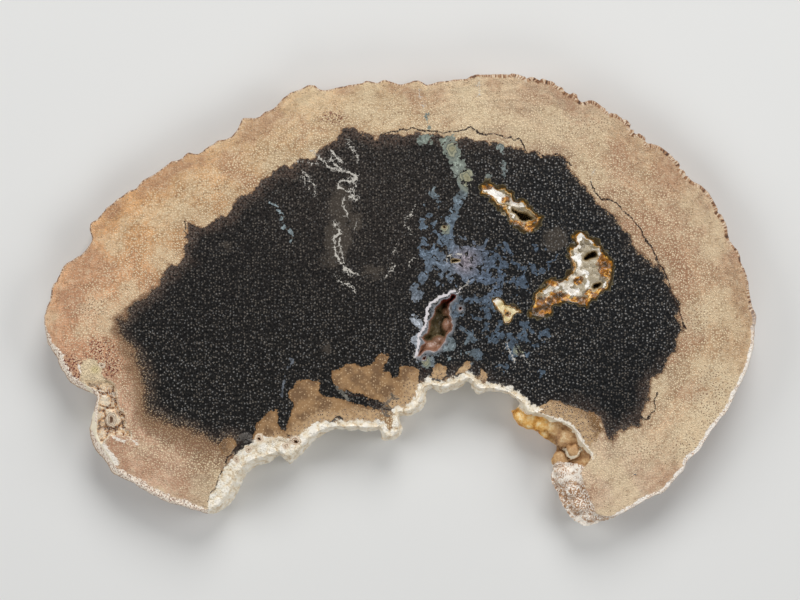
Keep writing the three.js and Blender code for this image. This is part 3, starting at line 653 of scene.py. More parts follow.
# small nicks in the bark: strongest along the upper right, where the rim is ragged
ragged = smoothStep(30, 80, sideRing[:, 0]) * smoothStep(20, 50, sideRing[:, 1])
ring3 = np.column_stack([sideRing, thickness - dropRing])
nicks = np.clip(roughNoise(ringAlong[:, None], 3.2, 5) * 2.2 - 0.1, 0, 1)
ringTuck = barkRing * (0.3 * (1 + roughNoise(ringAlong[:, None], 3.0, 3)) + (0.35 + ragged) * nicks)
ringTuck += bayRing * 0.9 * (1 - knobbly(ring3, *crustLumps))
ringTuck += bayRing * 0.35 * (1 - knobbly(ring3, *crustGrains))
ringTuck += (ledgeRing + tipRing) * 0.6 * (1 - knobbly(ring3, *rockLumps))
sideRing = sideRing - outward * ringTuck[:, None]
faceWander = bayRing * 0.5 * roughNoise(ringAlong[:, None], 2.4, 31) - barkRing * ragged * 0.8 * nicks
faceRing = faceRing + outward * faceWander[:, None]
print("rim traced:", ringCount, "points")


# the face is meshed from a lattice of points in triangles, thinned out where nothing is fine
latticeStep = slabShape["latticeStep"]
latticeRow = latticeStep * 0.866  # from one row of the triangles to the next


def latticeNear(low, high):
    rows = np.arange(math.floor(low[1] / latticeRow), math.ceil(high[1] / latticeRow) + 1)
    cols = np.arange(math.floor(low[0] / latticeStep), math.ceil(high[0] / latticeStep) + 1)
    c, r = np.meshgrid(cols, rows)
    return np.stack([c.ravel(), r.ravel()], axis=1)


def latticePlaces(cells):
    across = (cells[:, 0] + 0.5 * (cells[:, 1] % 2)) * latticeStep
    return np.stack([across, cells[:, 1] * latticeRow], axis=1)


def fineCells(features):
    # lattice cells close to each feature
    chosen = []
    for line, margin, filled in features:
        cells = latticeNear(line.min(axis=0) - margin, line.max(axis=0) + margin)
        places = latticePlaces(cells)
        keep = lineDistance(places, line, filled, margin + 1) < margin
        if filled:
            keep |= isInside(places, line)
        chosen.append(cells[keep])
    return np.unique(np.vstack(chosen), axis=0)


fineFeatures = [(outline, 1.4, True) for outline in vugOutlines + hollowOutlines + [pocketOutline]]
for strokes in (veinStrokes, paleStrokes, crackStrokes, crustStrokes):
    fineFeatures += [(line, 1.0 + width / 2, False) for line, width in strokes]
brokenStart = int(counts[:len(bark)].sum())
brow = np.vstack([sideRing[brokenStart:], faceRing[brokenStart:][::-1]])
fineFeatures += [(brow, 1.2, True), (faceRing[bayRing > 0.5], 3.4, False)]
fine = fineCells(fineFeatures)
broad = latticeNear(sideRing.min(axis=0), sideRing.max(axis=0))
broad = broad[(broad[:, 0] % 3 == 0) & (broad[:, 1] % 3 == 0)]
cells = np.unique(np.vstack([fine, broad]), axis=0)
places = latticePlaces(cells)
places = places + (np.stack([scatter(cells, 7), scatter(cells, 8)], axis=1) - 0.5) * 0.12
places = places[isInside(places, sideRing)]
clear = (lineDistance(places, sideRing, True, 2) > 0.42) & (lineDistance(places, faceRing, True, 2) > 0.33)
places = places[clear]
print("face points:", len(places))


def meshInside(ring, innerRing, inner):
    # triangles that fill a ring, through its own points, an inner line and the points inside
    lines = [ring] + ([innerRing] if innerRing is not None else [])
    points = np.vstack(lines + [inner])
    edges, start = [], 0
    for line in lines:
        n = len(line)
        edges += [(start + i, start + (i + 1) % n) for i in range(n)]
        start += n
    points = [Vector(p) for p in points.tolist()]
    made = geometry.delaunay_2d_cdt(points, edges, [list(range(len(ring)))], 1, 1e-5)
    verts = np.array([v[:] for v in made[0]])
    tris = np.array([f for f in made[2] if len(f) == 3])
    home = np.zeros(len(ring), dtype=int)
    for index, sources in enumerate(made[3]):
        for source in sources:
            if source < len(ring):
                home[source] = index
    a, b, c = verts[tris[:, 0]], verts[tris[:, 1]], verts[tris[:, 2]]
    turn = (b[:, 0] - a[:, 0]) * (c[:, 1] - a[:, 1]) - (b[:, 1] - a[:, 1]) * (c[:, 0] - a[:, 0])
    tris[turn < 0] = tris[turn < 0][:, ::-1]
    return verts, tris, home


topPlaces, topTris, topHome = meshInside(sideRing, faceRing, places)
print("face meshed:", len(topTris), "triangles")


def patternAt(places):
    # how deep each point lies in each feature, kept for the stone's pattern
    pattern = {"pocket": depthInside(places, pocketOutline)}
    pattern["core"] = depthInside(swayed(places, 3.5, 9.0), coreOutline, 40.0)
    places = swayed(places, 1.4)
    for name, outlines in (("tan", tanOutlines), ("hollow", hollowOutlines)):
        pattern[name] = outlinesDepth(places, outlines)
    pattern["vug"] = deepest(
        [depthInside(places, outline) * stretch for outline, stretch in zip(vugOutlines, vugStretches)])
    pattern["white"] = np.maximum(outlinesDepth(places, whiteOutlines), strokesDepth(places, whiteStrokes))
    pattern["vein"] = np.maximum(strokesDepth(places, veinStrokes), spotsDepth(places, veinSpots))
    pattern["pale"] = strokesDepth(swayed(places, 0.9, 1.7), paleStrokes)
    for name, strokes in (("crack", crackStrokes), ("crust", crustStrokes)):
        pattern[name] = strokesDepth(places, strokes)
    for name, spots in (("amber", amberSpots), ("haze", hazeSpots), ("bluish", mottleSpots),
                        ("speckle", speckleSpots), ("rusty", rustySpots)):
        pattern[name] = spotsDepth(places, spots)
    for name, spots in (("eye", eyeSpots), ("ring", veinRings)):
        pattern[name] = spotsShare(places, spots)
    pattern["dotted"] = smoothStep(-7, 4, strokesDepth(places, dottedStrokes))
    pattern["porous"] = smoothStep(-4, 5, spotsDepth(places, porousSpots))
    # how far the brown border zone spreads outside the core, wider on the left
    lowerLeft = smoothStep(-50, -125, places[:, 0]) * smoothStep(20, -50, places[:, 1])
    pattern["border"] = 1.2 + 11.5 * lowerLeft + 0.8 * smoothStep(40, 110, places[:, 0])
    # how far out a place stands: 0 at the bark and 1 at the black heart
    barkAway = lineDistance(places, sideRing, True, 60.0)
    pattern["ripe"] = barkAway / np.maximum(1.0, barkAway + np.clip(-pattern["core"], 0, None))
    # the heart's dots stand out most at the right and below
    sparkleRight, sparkleLow = smoothStep(0, 70, places[:, 0]), smoothStep(15, -35, places[:, 1])
    pattern["sparkle"] = 0.3 + 0.7 * np.maximum(sparkleRight, 0.6 * sparkleLow)
    pattern["sparkle"] *= 1 - 0.75 * np.clip(1 - np.hypot(places[:, 0] - 110, places[:, 1] + 48) / 35, 0, 1)
    # how much of the bark's edge is fresh and pale, how far the crust laps over the face, and how
    # far the chipped strip reaches in from the bark
    pattern["chip"] = smoothStep(0, -25, places[:, 1])
    pattern["lap"] = 2.0 + 2.8 * smoothStep(-30, -62, places[:, 0])
    upperRight = smoothStep(20, 60, places[:, 0]) * smoothStep(10, 40, places[:, 1])
    leftLobe = smoothStep(-85, -110, places[:, 0]) * smoothStep(-10, -30, places[:, 1])
    lowerRight = smoothStep(90, 120, places[:, 0]) * smoothStep(20, -10, places[:, 1])
    pattern["edge"] = 0.7 + 1.3 * upperRight + 3.2 * leftLobe + 1.4 * lowerRight
    return pattern


def tintAt(places, spots):
    weights = np.stack([1 / (1 + ((places[:, 0] - x) ** 2 + (places[:, 1] - y) ** 2) / r**2) ** 2
                        for x, y, r, colour in spots])
    colours = np.array([linearColour(colour)[:3] for x, y, r, colour in spots])
    return (weights[:, :, None] * colours[:, None, :]).sum(axis=0) / weights.sum(axis=0)[:, None]


# heights of the face
topPattern = patternAt(topPlaces)
faceDepth = depthInside(topPlaces, faceRing, 14.0)
sideAway = lineDistance(topPlaces, sideRing, True, 30.0)
outside = faceDepth < 0
share = np.zeros(len(topPlaces))
share[outside] = -faceDepth[outside] / np.maximum(1e-6, -faceDepth[outside] + sideAway[outside])
nearest = np.zeros(len(topPlaces), dtype=int)
close = np.where(faceDepth < 8)[0]
for part in np.array_split(close, max(1, len(close) // 2000)):
    gap = topPlaces[part][:, None, :] - sideRing[None]
    nearest[part] = (gap**2).sum(axis=2).argmin(axis=1)
nearest[topHome] = np.arange(ringCount)
share[topHome] = 1.0
halfDrop = np.clip(mannerRing[nearest, 0], 0.2, 0.9)
fall = dropRing[nearest] * share ** (np.log(halfDrop) / np.log(0.5))
height = np.full(len(topPlaces), thickness) - fall

bay = np.where(faceDepth < 8, bayRing[nearest], 0)
ledge = np.where(faceDepth < 8, ledgeRing[nearest], 0)
tip = np.where(faceDepth < 8, tipRing[nearest], 0)
place3 = np.column_stack([topPlaces, height])
rounded = 0.7 * knobbly(place3, *crustLumps) + 0.3 * knobbly(place3, *crustGrains)
rocky = knobbly(place3, *rockLumps)
fadeIn = smoothStep(0.0, 0.35, share)
lapRelief = slabShape["crustLapRelief"] * smoothStep(1.6, -0.2, faceDepth - topPattern["lap"])
height -= bay * np.where(outside, fadeIn * slabShape["crustRelief"], lapRelief) * (1 - rounded)
grit = slabShape["gritRelief"] * (1 - knobbly(place3, 1.5, 24))
height -= (ledge + tip) * fadeIn * (slabShape["rockRelief"] * (1 - rocky) + grit)
height -= np.where(outside, 1, 0) * (1 - bay) * slabShape["rimRelief"] * (1 + roughNoise(place3, 0.9, 25))
# how deep each place lies in a crease between lumps; the materials darken the creases by it, as painted
# shade
creaseShade = bay * (1 - rounded) + np.where(outside, (ledge + tip) * (1 - rocky) * 0.8, 0)

# the knobbly pocket in the left lobe
pocketDepth = topPattern["pocket"]
pocketLumps = 0.65 * knobbly(place3, 4.6, 41) + 0.35 * knobbly(place3, 2.0, 42)
pocketFloor = slabShape["pocketDepth"] * smoothStep(0, 1.6, pocketDepth) * (1 - 0.75 * pocketLumps)
pocketFloor *= 0.12 + 0.88 * smoothStep(-37, -44, topPlaces[:, 1])  # shallow at its upper end
height -= pocketFloor
inPocket = (pocketDepth > 0) & (topPlaces[:, 1] < -40)
# the pocket's creases get the same painted shade
creaseShade = np.where(inPocket, smoothStep(0, 1, pocketDepth) * (1 - pocketLumps), creaseShade)


def raiseKnobs(height, knobs, roundness):
    # swellings, each a rounded cap laid over what is there
    cover = np.zeros(len(height))
    for x, y, reach, top in knobs:
        near = np.sqrt((topPlaces[:, 0] - x) ** 2 + (topPlaces[:, 1] - y) ** 2) / reach
        near *= 1 + 0.35 * roughNoise(topPlaces, 2.6, 91)
        cap = thickness - top - reach * roundness * (1 - np.sqrt(np.clip(1 - near**2, 0, 1)))
        wins = (near < 1) & (cap > height)
        cover = np.where(wins, 1 - near**2, cover)
        height = np.where(wins, cap, height)
    return height, cover


height, ledgeCover = raiseKnobs(height, ledgeKnobs, 0.7)
height, pocketCover = raiseKnobs(height, pocketKnobs, 0.1)
knobCover = np.maximum(ledgeCover, pocketCover)
# darker towards the knobs' edges, as painted shade
creaseShade = np.where(knobCover > 0, 1 - np.sqrt(knobCover), creaseShade)

# agate round the hollows dips a little, and the hollows go deep
vugDepth = topPattern["vug"]
topSwayed = swayed(topPlaces, 1.4)
basin = smoothStep(0.8, 3.6, vugDepth)
height -= basin * (slabShape["basinDepth"] - 1.3 * knobbly(place3, 4.0, 52) - 0.3 * knobbly(place3, 1.7, 51))
creaseShade = np.where(vugDepth > 0.8, 0.6 * (1 - knobbly(place3, 2.2, 51)), creaseShade)
for outline, deep, floorRise in zip(hollowOutlines, hollowDeeps, hollowRises):
    inside = depthInside(topSwayed, outline, 6.0)
    well = deep * smoothStep(-0.1, max(1.0, min(2.6, deep * 0.2)), inside)
    well *= 1 - floorRise * (0.5 + 0.5 * roughNoise(topPlaces, 5.0, 61))
    height = np.where(inside > -0.1, height - well, height)
inCleft = depthInside(topSwayed, hollowOutlines[cleftIndex], 3.0) > 0.6
for x, y, rx, ry, under in cleftLumps:
    lump = np.clip(spotDepth(topPlaces, x, y, rx, ry) / min(rx, ry), 0, 1)
    lumpTop = thickness - under - 3 * (1 - np.sqrt(lump))
    height = np.where(inCleft & (lump > 0), np.maximum(height, lumpTop), height)

# cracks are hairline grooves
height -= slabShape["crackDepth"] * smoothStep(-0.25, 0.15, topPattern["crack"])
height = np.minimum(height, thickness)
print("face heights done")

# the side, row by row down from its widest line
sideRows = slabShape["sideRows"]
wallPlaces, wallCreaseShade = [], []
ring3[:, :2] = sideRing
ringZ = height[topHome]
for row in range(1, sideRows + 1):
    down = (row / sideRows) ** 0.9
    z = ringZ * (1 - down)
    here = np.column_stack([sideRing, z])
    ease = smoothStep(0, 0.12, down)
    flutes = slabShape["fluteDepth"] * (1 + roughNoise(np.column_stack([ringAlong / 1.5, z / 26]), 1.0, 71))
    swell = 0.5 * (1 + roughNoise(np.column_stack([ringAlong / 13, z / 12]), 1.0, 72))
    grit = 0.25 * roughNoise(here, 1.4, 73)
    barkIn = flutes + swell + grit
    lumps = 0.72 * knobbly(here, 4.8, 74) + 0.28 * knobbly(here, 2.1, 75)
    bayIn = 2.0 * (1 - lumps) - 0.5
    rock = 1.2 * (1 - knobbly(here, 4.4, 76)) + 0.5 * (1 - knobbly(here, 1.8, 77)) + 0.3 * swell
    tuck = barkRing * barkIn + bayRing * bayIn + (ledgeRing + tipRing) * rock
    tuck = ease * (tuck + mannerRing[:, 1]) + 0.5 * smoothStep(0.9, 1.0, down)
    spot = sideRing - outward * tuck[:, None]
    wallPlaces.append(np.column_stack([spot, z]))
    # the side's creases and fibre grooves, kept for their painted shade
    wallCreaseShade.append(bayRing * (1 - lumps) + (ledgeRing + tipRing) * np.clip(rock / 2, 0, 1)
                      + barkRing * np.clip(flutes * 0.9, 0, 1))

soleRing = wallPlaces[-1][:, :2]
soleGrid = latticeNear(soleRing.min(axis=0), soleRing.max(axis=0))
soleGrid = latticePlaces(soleGrid[(soleGrid[:, 0] % 6 == 0) & (soleGrid[:, 1] % 6 == 0)])
soleGrid = soleGrid[isInside(soleGrid, soleRing)]
soleGrid = soleGrid[lineDistance(soleGrid, soleRing, True, 3) > 1.0]
solePlaces, soleTris, soleHome = meshInside(soleRing, None, soleGrid)

# one closed mesh: face, side and sawn back
topCount = len(topPlaces)
vertices = [np.column_stack([topPlaces, height])]
faces = [topTris]
faceKinds = [np.where(faceDepth[topTris].mean(axis=1) < 0, 1, 0)]
vertices += wallPlaces[:-1]
base = sum(len(v) for v in vertices)
rowIndex = [topHome] + [topCount + ringCount * r + np.arange(ringCount) for r in range(sideRows - 1)]
rowIndex.append(base + soleHome)
vertices.append(np.column_stack([solePlaces, np.zeros(len(solePlaces))]))
for upper, lower in zip(rowIndex[:-1], rowIndex[1:]):
    u2, l2 = np.roll(upper, -1), np.roll(lower, -1)
    # the ring runs clockwise seen from above
    faces.append(np.stack([upper, u2, l2], axis=1))
    faces.append(np.stack([upper, l2, lower], axis=1))
    faceKinds += [np.ones(ringCount, dtype=int)] * 2
faces.append(soleTris[:, ::-1] + base)
faceKinds.append(np.full(len(soleTris), 2))
vertices, faces, faceKinds = np.vstack(vertices), np.vstack(faces), np.concatenate(faceKinds)
low, high = np.array(cadBox[0]) * 1000, np.array(cadBox[1]) * 1000
vertices = np.clip(vertices, low, high)

wallPattern = patternAt(vertices[topCount:, :2])
slabMesh = bpy.data.meshes.new("petrified_slab")
slabMesh.from_pydata((vertices / 1000).tolist(), [], faces.tolist())


def addField(name, values):
    layer = slabMesh.attributes.new(name, "FLOAT", "POINT")
    layer.data.foreach_set("value", np.ascontiguousarray(values, dtype=np.float32))


for name in topPattern:
    addField(name, np.concatenate([topPattern[name], wallPattern[name]]))
soleCount = len(solePlaces)


def overall(top, ring, sole):
    # one value for each point: the face's own, then the rows of the side, then the back
    return np.concatenate([top, np.tile(ring, sideRows - 1), np.full(soleCount, sole)])


addField("bay", overall(bay, bayRing, 0.0))
addField("ledge", overall(ledge, ledgeRing, 0.0))
addField("tip", overall(tip, tipRing, 0.0))
addField("along", overall(ringAlong[nearest], ringAlong, 0.0))
addField("share", overall(share, np.ones(ringCount), 1.0))
# how much painted shade each point's crease gets
addField("creaseShade", np.concatenate([creaseShade, np.concatenate(wallCreaseShade[:-1]), np.zeros(soleCount)]))
addField("rimAway", overall(np.minimum(sideAway, 30), np.zeros(ringCount), 0.0))
addField("faceAway", overall(faceDepth, -np.ones(ringCount), 3.0))
for name, spots in (("woodTint", woodTints), ("coreTint", coreTints), ("veinTint", veinTints)):
    tint = tintAt(vertices[:, :2], spots)
    layer = slabMesh.attributes.new(name, "FLOAT_COLOR", "POINT")
    layer.data.foreach_set("color", np.column_stack([tint, np.ones(len(tint))]).astype(np.float32).ravel())
slabMesh.polygons.foreach_set("material_index", faceKinds.astype(np.int32))
slabMesh.polygons.foreach_set("use_smooth", np.ones(len(faces), dtype=bool))
slabMesh.update()
slabMesh.set_sharp_from_angle(angle=math.radians(50))
slab = bpy.data.objects.new("petrified_slab", slabMesh)
bpy.context.collection.objects.link(slab)
print("slab mesh:", len(vertices), "points,", len(faces), "triangles")


def add(tree, kind, inputs=None, out=0, stops=None, **settings):
    # adds a shader node with its settings and links, and gives back one output
    node = tree.nodes.new("ShaderNode" + kind)
    for name, value in settings.items():
        setattr(node, name, value)
    if stops:
        marks = node.color_ramp.elements
        marks.remove(marks[1])
        marks[0].position, marks[0].color = stops[0][0], linearColour(stops[0][1])
        for position, colour in stops[1:]:
            marks.new(position).color = linearColour(colour)
    for socket, value in (inputs or {}).items():
        if isinstance(value, bpy.types.NodeSocket):
            tree.links.new(value, node.inputs[socket])
        else:
            node.inputs[socket].default_value = value
    return node.outputs[out] if out is not None else node


def emptyMaterial(name):
    material = bpy.data.materials.new(name)
    material.use_nodes = True
    material.node_tree.nodes.clear()
    return material, material.node_tree


def finishMaterial(tree, colour, roughness, ior, normal=None):
    inputs = {"Base Color": colour, "Roughness": roughness, "IOR": ior}
    if normal is not None:
        inputs["Normal"] = normal
    surface = add(tree, "BsdfPrincipled", inputs)
    add(tree, "OutputMaterial", {"Surface": surface}, out=None)


wood = {
    "outerBundle": 1.15,  # mm between fibre bundles near the bark
    "coreBundle": 1.75,  # mm between them in the heart
    "pit": 1.5,  # mm between the small pits in the outer wood
    "dust": 1.4,  # mm between the heart's faintest dots
    "bundleLight": "#f3dcb6",
    "bundleGap": "#6e4c33",
    "coreDot": "#9b9a98",
    "borderBrown": "#84644a",
    "borderDark": "#34261d",
    "borderDot": "#cdad82",
    "patch": "#a3805a",
    "patchDark": "#7d6044",
    "patchDot": "#cdb08a",
    "veinletWhite": "#cfcac0",
    "crackBrown": "#2a180d",
    "amberDeep": "#8a540a",
    "amberBright": "#c27c11",
    "crystalWhite": "#f4eee4",
    "chalkLight": "#fbf4e6",
    "ior": 1.54,  # quartz, which the wood has turned into
    # where a colour comes in, in mm along x or y, from none of it to all of it
    "brownPatchX": (55.0, 66.0),
    "whiteSliverX": (70.0, 100.0),
    "brownLedgeX": (70.0, 80.0),
    "redCleftY": (-6.0, 0.0),
    "creamPocketY": (-45.0, -40.0),
    "ridgedPocketY": (-40.0, -45.0),
    "whiteTipY": (-94.0, -89.0),
    "whiteTipEndY": (-104.0, -109.0),
    # the middles of the yellow hollow and of the pocket's green knob
    "yellowHollow": (54.0, -5.5, 22.0),
    "greenKnob": (-152.5, -34.8, 22.0),
}


def blend(tree, share, first, second):
    # mixes two colours, given as sockets or as hex text
    first = linearColour(first) if isinstance(first, str) else first
    second = linearColour(second) if isinstance(second, str) else second
    return add(tree, "Mix", {0: share, 6: first, 7: second}, out=2, data_type="RGBA")


def sloped(tree, value, low, high, start=0.0, end=1.0):
    # an eased slope from start at low to end at high
    inputs = {0: value, 1: low, 2: high, 3: start, 4: end}
    return add(tree, "MapRange", inputs, interpolation_type="SMOOTHSTEP")


def field(tree, name, *waves):
    # a value kept in the mesh, made uneven by noises, each with its reach in mm either way
    value = add(tree, "Attribute", out=2, attribute_name=name)
    for wave, reach in waves:
        value = timesPlus(tree, wave, reach * 4, value)
        value = minus(tree, value, reach * 2)
    return value


def times(tree, first, second):
    return add(tree, "Math", {0: first, 1: second}, operation="MULTIPLY")


def minus(tree, first, second):
    return add(tree, "Math", {0: first, 1: second}, operation="SUBTRACT")


def most(tree, first, second):
    return add(tree, "Math", {0: first, 1: second}, operation="MAXIMUM")


def timesPlus(tree, value, factor, more):
    return add(tree, "Math", {0: value, 1: factor, 2: more}, operation="MULTIPLY_ADD")


def ranged(tree, value, low=0.0, high=1.0, start=0.0, end=1.0):
    # a straight slope from start at low to end at high
    return add(tree, "MapRange", {0: value, 1: low, 2: high, 3: start, 4: end})


def scaled(tree, vector, factor):
    return add(tree, "VectorMath", {0: vector, "Scale": factor}, operation="SCALE")


def awayFrom(tree, place, point):
    return add(tree, "VectorMath", {0: place, 1: point}, out=1, operation="DISTANCE")


def axis(tree, place, index):
    return add(tree, "SeparateXYZ", {0: place}, out=index)


def ramp(tree, value, stops):
    return add(tree, "ValToRGB", {0: value}, stops=stops)


def noise(tree, place, scale, detail, roughness=0.5, distortion=0.0, out=0):
    # scale is in swells for each mm
    inputs = {"Vector": place, "Scale": scale, "Detail": detail}
    return add(tree, "TexNoise", {**inputs, "Roughness": roughness, "Distortion": distortion}, out=out)


def stoneNoises(tree):
    place = scaled(tree, add(tree, "TexCoord", out=3), 1000.0)
    grains = {"place": place}
    grains["fine"] = noise(tree, place, 1.1, 3.0, roughness=0.6)
    grains["wisp"] = noise(tree, place, 0.34, 5.0, roughness=0.68)
    grains["flow"] = noise(tree, place, 0.2, 2.5, distortion=0.9)
    grains["drift"] = noise(tree, place, 0.14, 3.0)
    grains["cloud"] = noise(tree, place, 0.055, 4.0, roughness=0.55)
    return grains


def bundles(tree, place, spacing, small, large):
    # fibre bundles cut across: a dot in each cell, a number for each cell and how far a place is from a dot
    inputs = {"Vector": place, "Scale": 1 / spacing, "Randomness": 0.95}
    away = add(tree, "TexVoronoi", inputs, voronoi_dimensions="2D")
    chance = add(tree, "TexVoronoi", inputs, out=1, voronoi_dimensions="2D")
    chance = axis(tree, chance, 0)
    return sloped(tree, away, small, large, 1.0, 0.0), chance, away


def palmWoodColour(tree, grains):
    # silicified palm wood: pale fibre bundles as dots, tan towards the bark and black in the heart
    place, fine, wisp, drift, cloud = (grains[k] for k in ("place", "fine", "wisp", "drift", "cloud"))
    ripple = noise(tree, place, 0.9, 2.0, out=1)
    shaken = add(tree, "VectorMath", {0: ripple, 1: (0.9, 0.9, 0.9), 2: place}, operation="MULTIPLY_ADD")
    outerDot, outerChance, outerGap = bundles(tree, shaken, wood["outerBundle"], 0.08, 0.42)
    coreDot, coreChance, _ = bundles(tree, shaken, wood["coreBundle"], 0.02, 0.3)

    # outer wood: peach under the bark, then a paler ring where the dots show best, then browner
    ripe = field(tree, "ripe", (drift, 0.05), (cloud, 0.08))
    rimAway = field(tree, "rimAway")
    bands = {0: times(tree, rimAway, 0.3), 1: times(tree, drift, 3.0), 2: times(tree, cloud, 5.0)}
    bands = add(tree, "CombineXYZ", bands)
    bands = noise(tree, bands, 1.0, 4.0)
    shade = ranged(tree, cloud, 0.3, 0.7, 0.88, 1.1)
    shade = times(tree, shade, ranged(tree, bands, 0.3, 0.7, 0.76, 1.18))
    shade = times(tree, shade, sloped(tree, ripe, 0.55, 1.0, 1.04, 0.8))
    tint = add(tree, "Attribute", attribute_name="woodTint")
    crisp = noise(tree, place, 2.0, 1.0)
    shade = times(tree, shade, ranged(tree, crisp, 0.3, 0.7, 0.88, 1.12))
    tint = scaled(tree, tint, shade)
    hue = noise(tree, place, 0.04, 4.0)
    tint = blend(tree, sloped(tree, hue, 0.5, 0.6, 0.0, 0.5), tint, "#e8d2ac")
    tint = blend(tree, sloped(tree, hue, 0.48, 0.38, 0.0, 0.5), tint, "#ae7f62")
    tint = blend(tree, sloped(tree, wisp, 0.5, 0.64, 0.0, 0.36), tint, "#96714f")
    tint = blend(tree, sloped(tree, wisp, 0.48, 0.36, 0.0, 0.3), tint, "#f0dcb8")
    show = times(tree, sloped(tree, ripe, 0.1, 0.5, 0.3, 0.95), ranged(tree, drift, 0.35, 0.65, 0.5, 1.1))
    show = times(tree, show, ranged(tree, field(tree, "dotted"), start=0.2, end=1.25))
    dotShow = ranged(tree, outerChance, start=0.55, end=1.1)
    lightShare = times(tree, times(tree, outerDot, dotShow), times(tree, show, 1.25))
    gapShare = times(tree, sloped(tree, outerGap, 0.3, 0.8, 0.0, 0.27), show)
    outer = blend(tree, lightShare, tint, wood["bundleLight"])
    outer = blend(tree, gapShare, outer, wood["bundleGap"])
    pit, pitChance, pitGap = bundles(tree, shaken, wood["pit"], 0.05, 0.3)
    pitted = times(tree, sloped(tree, pitChance, 0.35, 0.6), sloped(tree, wisp, 0.44, 0.56, 0.1, 0.6))
    porous = times(tree, field(tree, "porous"), sloped(tree, pitChance, 0.15, 0.4))
    outer = blend(tree, times(tree, pit, pitted), outer, "#6a4630")
    outer = blend(tree, times(tree, porous, 0.4), outer, "#ead7b4")
    outer = blend(tree, times(tree, sloped(tree, pitGap, 0.12, 0.3, 0.8, 0.0), porous), outer, "#7a5338")
    strip = timesPlus(tree, wisp, 1.6, 0.2)
    strip = times(tree, strip, field(tree, "edge"))
    strip = sloped(tree, minus(tree, rimAway, strip), -0.3, 0.3, 1.0, 0.0)
    outer = blend(tree, strip, outer, chippedBark(tree, grains))
    specks = sloped(tree, field(tree, "speckle", (wisp, 1.0)), -1.0, 3.0)
    specks = times(tree, specks, sloped(tree, fine, 0.53, 0.58))
    outer = blend(tree, specks, outer, "#6b2e20")

    # the stain darkens through brown to the black heart; pale dots run on into the brown
    core = field(tree, "core", (drift, 1.4), (wisp, 1.5), (fine, 0.35))
    stain = add(tree, "Math", {0: core, 1: field(tree, "border")}, operation="DIVIDE")
    brownShare = sloped(tree, stain, -1.0, -0.25)
    darkShare = sloped(tree, stain, -0.35, 0.05)
    coreShare = sloped(tree, stain, -0.1, 0.4)
    colour = blend(tree, brownShare, outer, wood["borderBrown"])
    colour = blend(tree, darkShare, colour, wood["borderDark"])
    sparkle = field(tree, "sparkle")
    grain = ranged(tree, fine, 0.36, 0.64, 0.0, 2.0)
    band = sloped(tree, core, 0.5, 8.0, 1.0, 0.0)
    band = times(tree, band, ranged(tree, sparkle, low=0.3, start=0.9, end=0.12))
    coreTint = blend(tree, band, add(tree, "Attribute", attribute_name="coreTint"), "#56463c")
    coreTint = scaled(tree, coreTint, grain)
    haze = sloped(tree, field(tree, "haze", (wisp, 2.4), (fine, 1.0)), -0.4, 2.8, 0.0, 0.55)
    coreTint = blend(tree, haze, coreTint, "#63594e")
    coreTint = scaled(tree, coreTint, 0.64)
    dust, dustChance, _ = bundles(tree, shaken, wood["dust"], 0.05, 0.4)
    dust = times(tree, dust, sloped(tree, dustChance, 0.25, 1.0, 0.0, 0.75))
    coreTint = blend(tree, dust, coreTint, "#7a7268")
    colour = blend(tree, coreShare, colour, coreTint)
    dotColour = blend(tree, sloped(tree, stain, -0.1, 0.9), wood["borderDot"], wood["coreDot"])
    borderDots = times(tree, times(tree, outerDot, brownShare), ranged(tree, coreShare, start=0.9, end=0.0))
    colour = blend(tree, times(tree, borderDots, sparkle), colour, dotColour)
    coreLit = ranged(tree, coreChance, 0.25, 1.0, 0.08, 1.3)
    coreLit = times(tree, coreLit, ranged(tree, drift, 0.35, 0.65, 0.55, 1.05))
    coreLit = times(tree, coreLit, sparkle)
    colour = blend(tree, times(tree, times(tree, coreDot, coreLit), coreShare), colour, dotColour)

    # tan patches that reach into the heart: golden edges, and lacy with holes towards the bay
    tan = field(tree, "tan", (wisp, 1.0), (fine, 0.4))
    tanShare = sloped(tree, tan, -0.2, 0.35)
    patch = blend(tree, sloped(tree, drift, 0.4, 0.6), wood["patch"], wood["patchDark"])
    rightShare = sloped(tree, axis(tree, place, 0), *wood["brownPatchX"], 0.0, 0.6)
    patch = blend(tree, rightShare, patch, "#6e4d29")
    patch = blend(tree, times(tree, outerDot, sloped(tree, outerChance, 0.45, 1.0)), patch, wood["patchDot"])
    patch = blend(tree, times(tree, gapShare, 0.6), patch, "#4a3626")
    patch = blend(tree, sloped(tree, tan, 0.2, 1.6, 0.45, 0.0), patch, "#8a6338")
    nearBay = sloped(tree, field(tree, "faceAway", (wisp, 2.4)), 1.5, 7.5, 0.75, 0.0)
    patch = blend(tree, nearBay, patch, "#cdb08c")
    laceCells = {"Vector": shaken, "Scale": 0.62, "Randomness": 1.0}
    lace = timesPlus(tree, wisp, 0.7, add(tree, "TexVoronoi", laceCells, voronoi_dimensions="2D"))
    lace = ramp(tree, lace, [
        (0.42, "#33241a"), (0.5, "#7c5c40"), (0.56, "#dcc3a0"), (0.68, "#a88460"), (0.95, "#c7a880")])
    laceShare = sloped(tree, field(tree, "faceAway", (wisp, 3.0)), 6.0, 11.0, 1.0, 0.0)
    patch = blend(tree, times(tree, laceShare, sloped(tree, drift, 0.36, 0.46)), patch, lace)
    colour = blend(tree, tanShare, colour, patch)

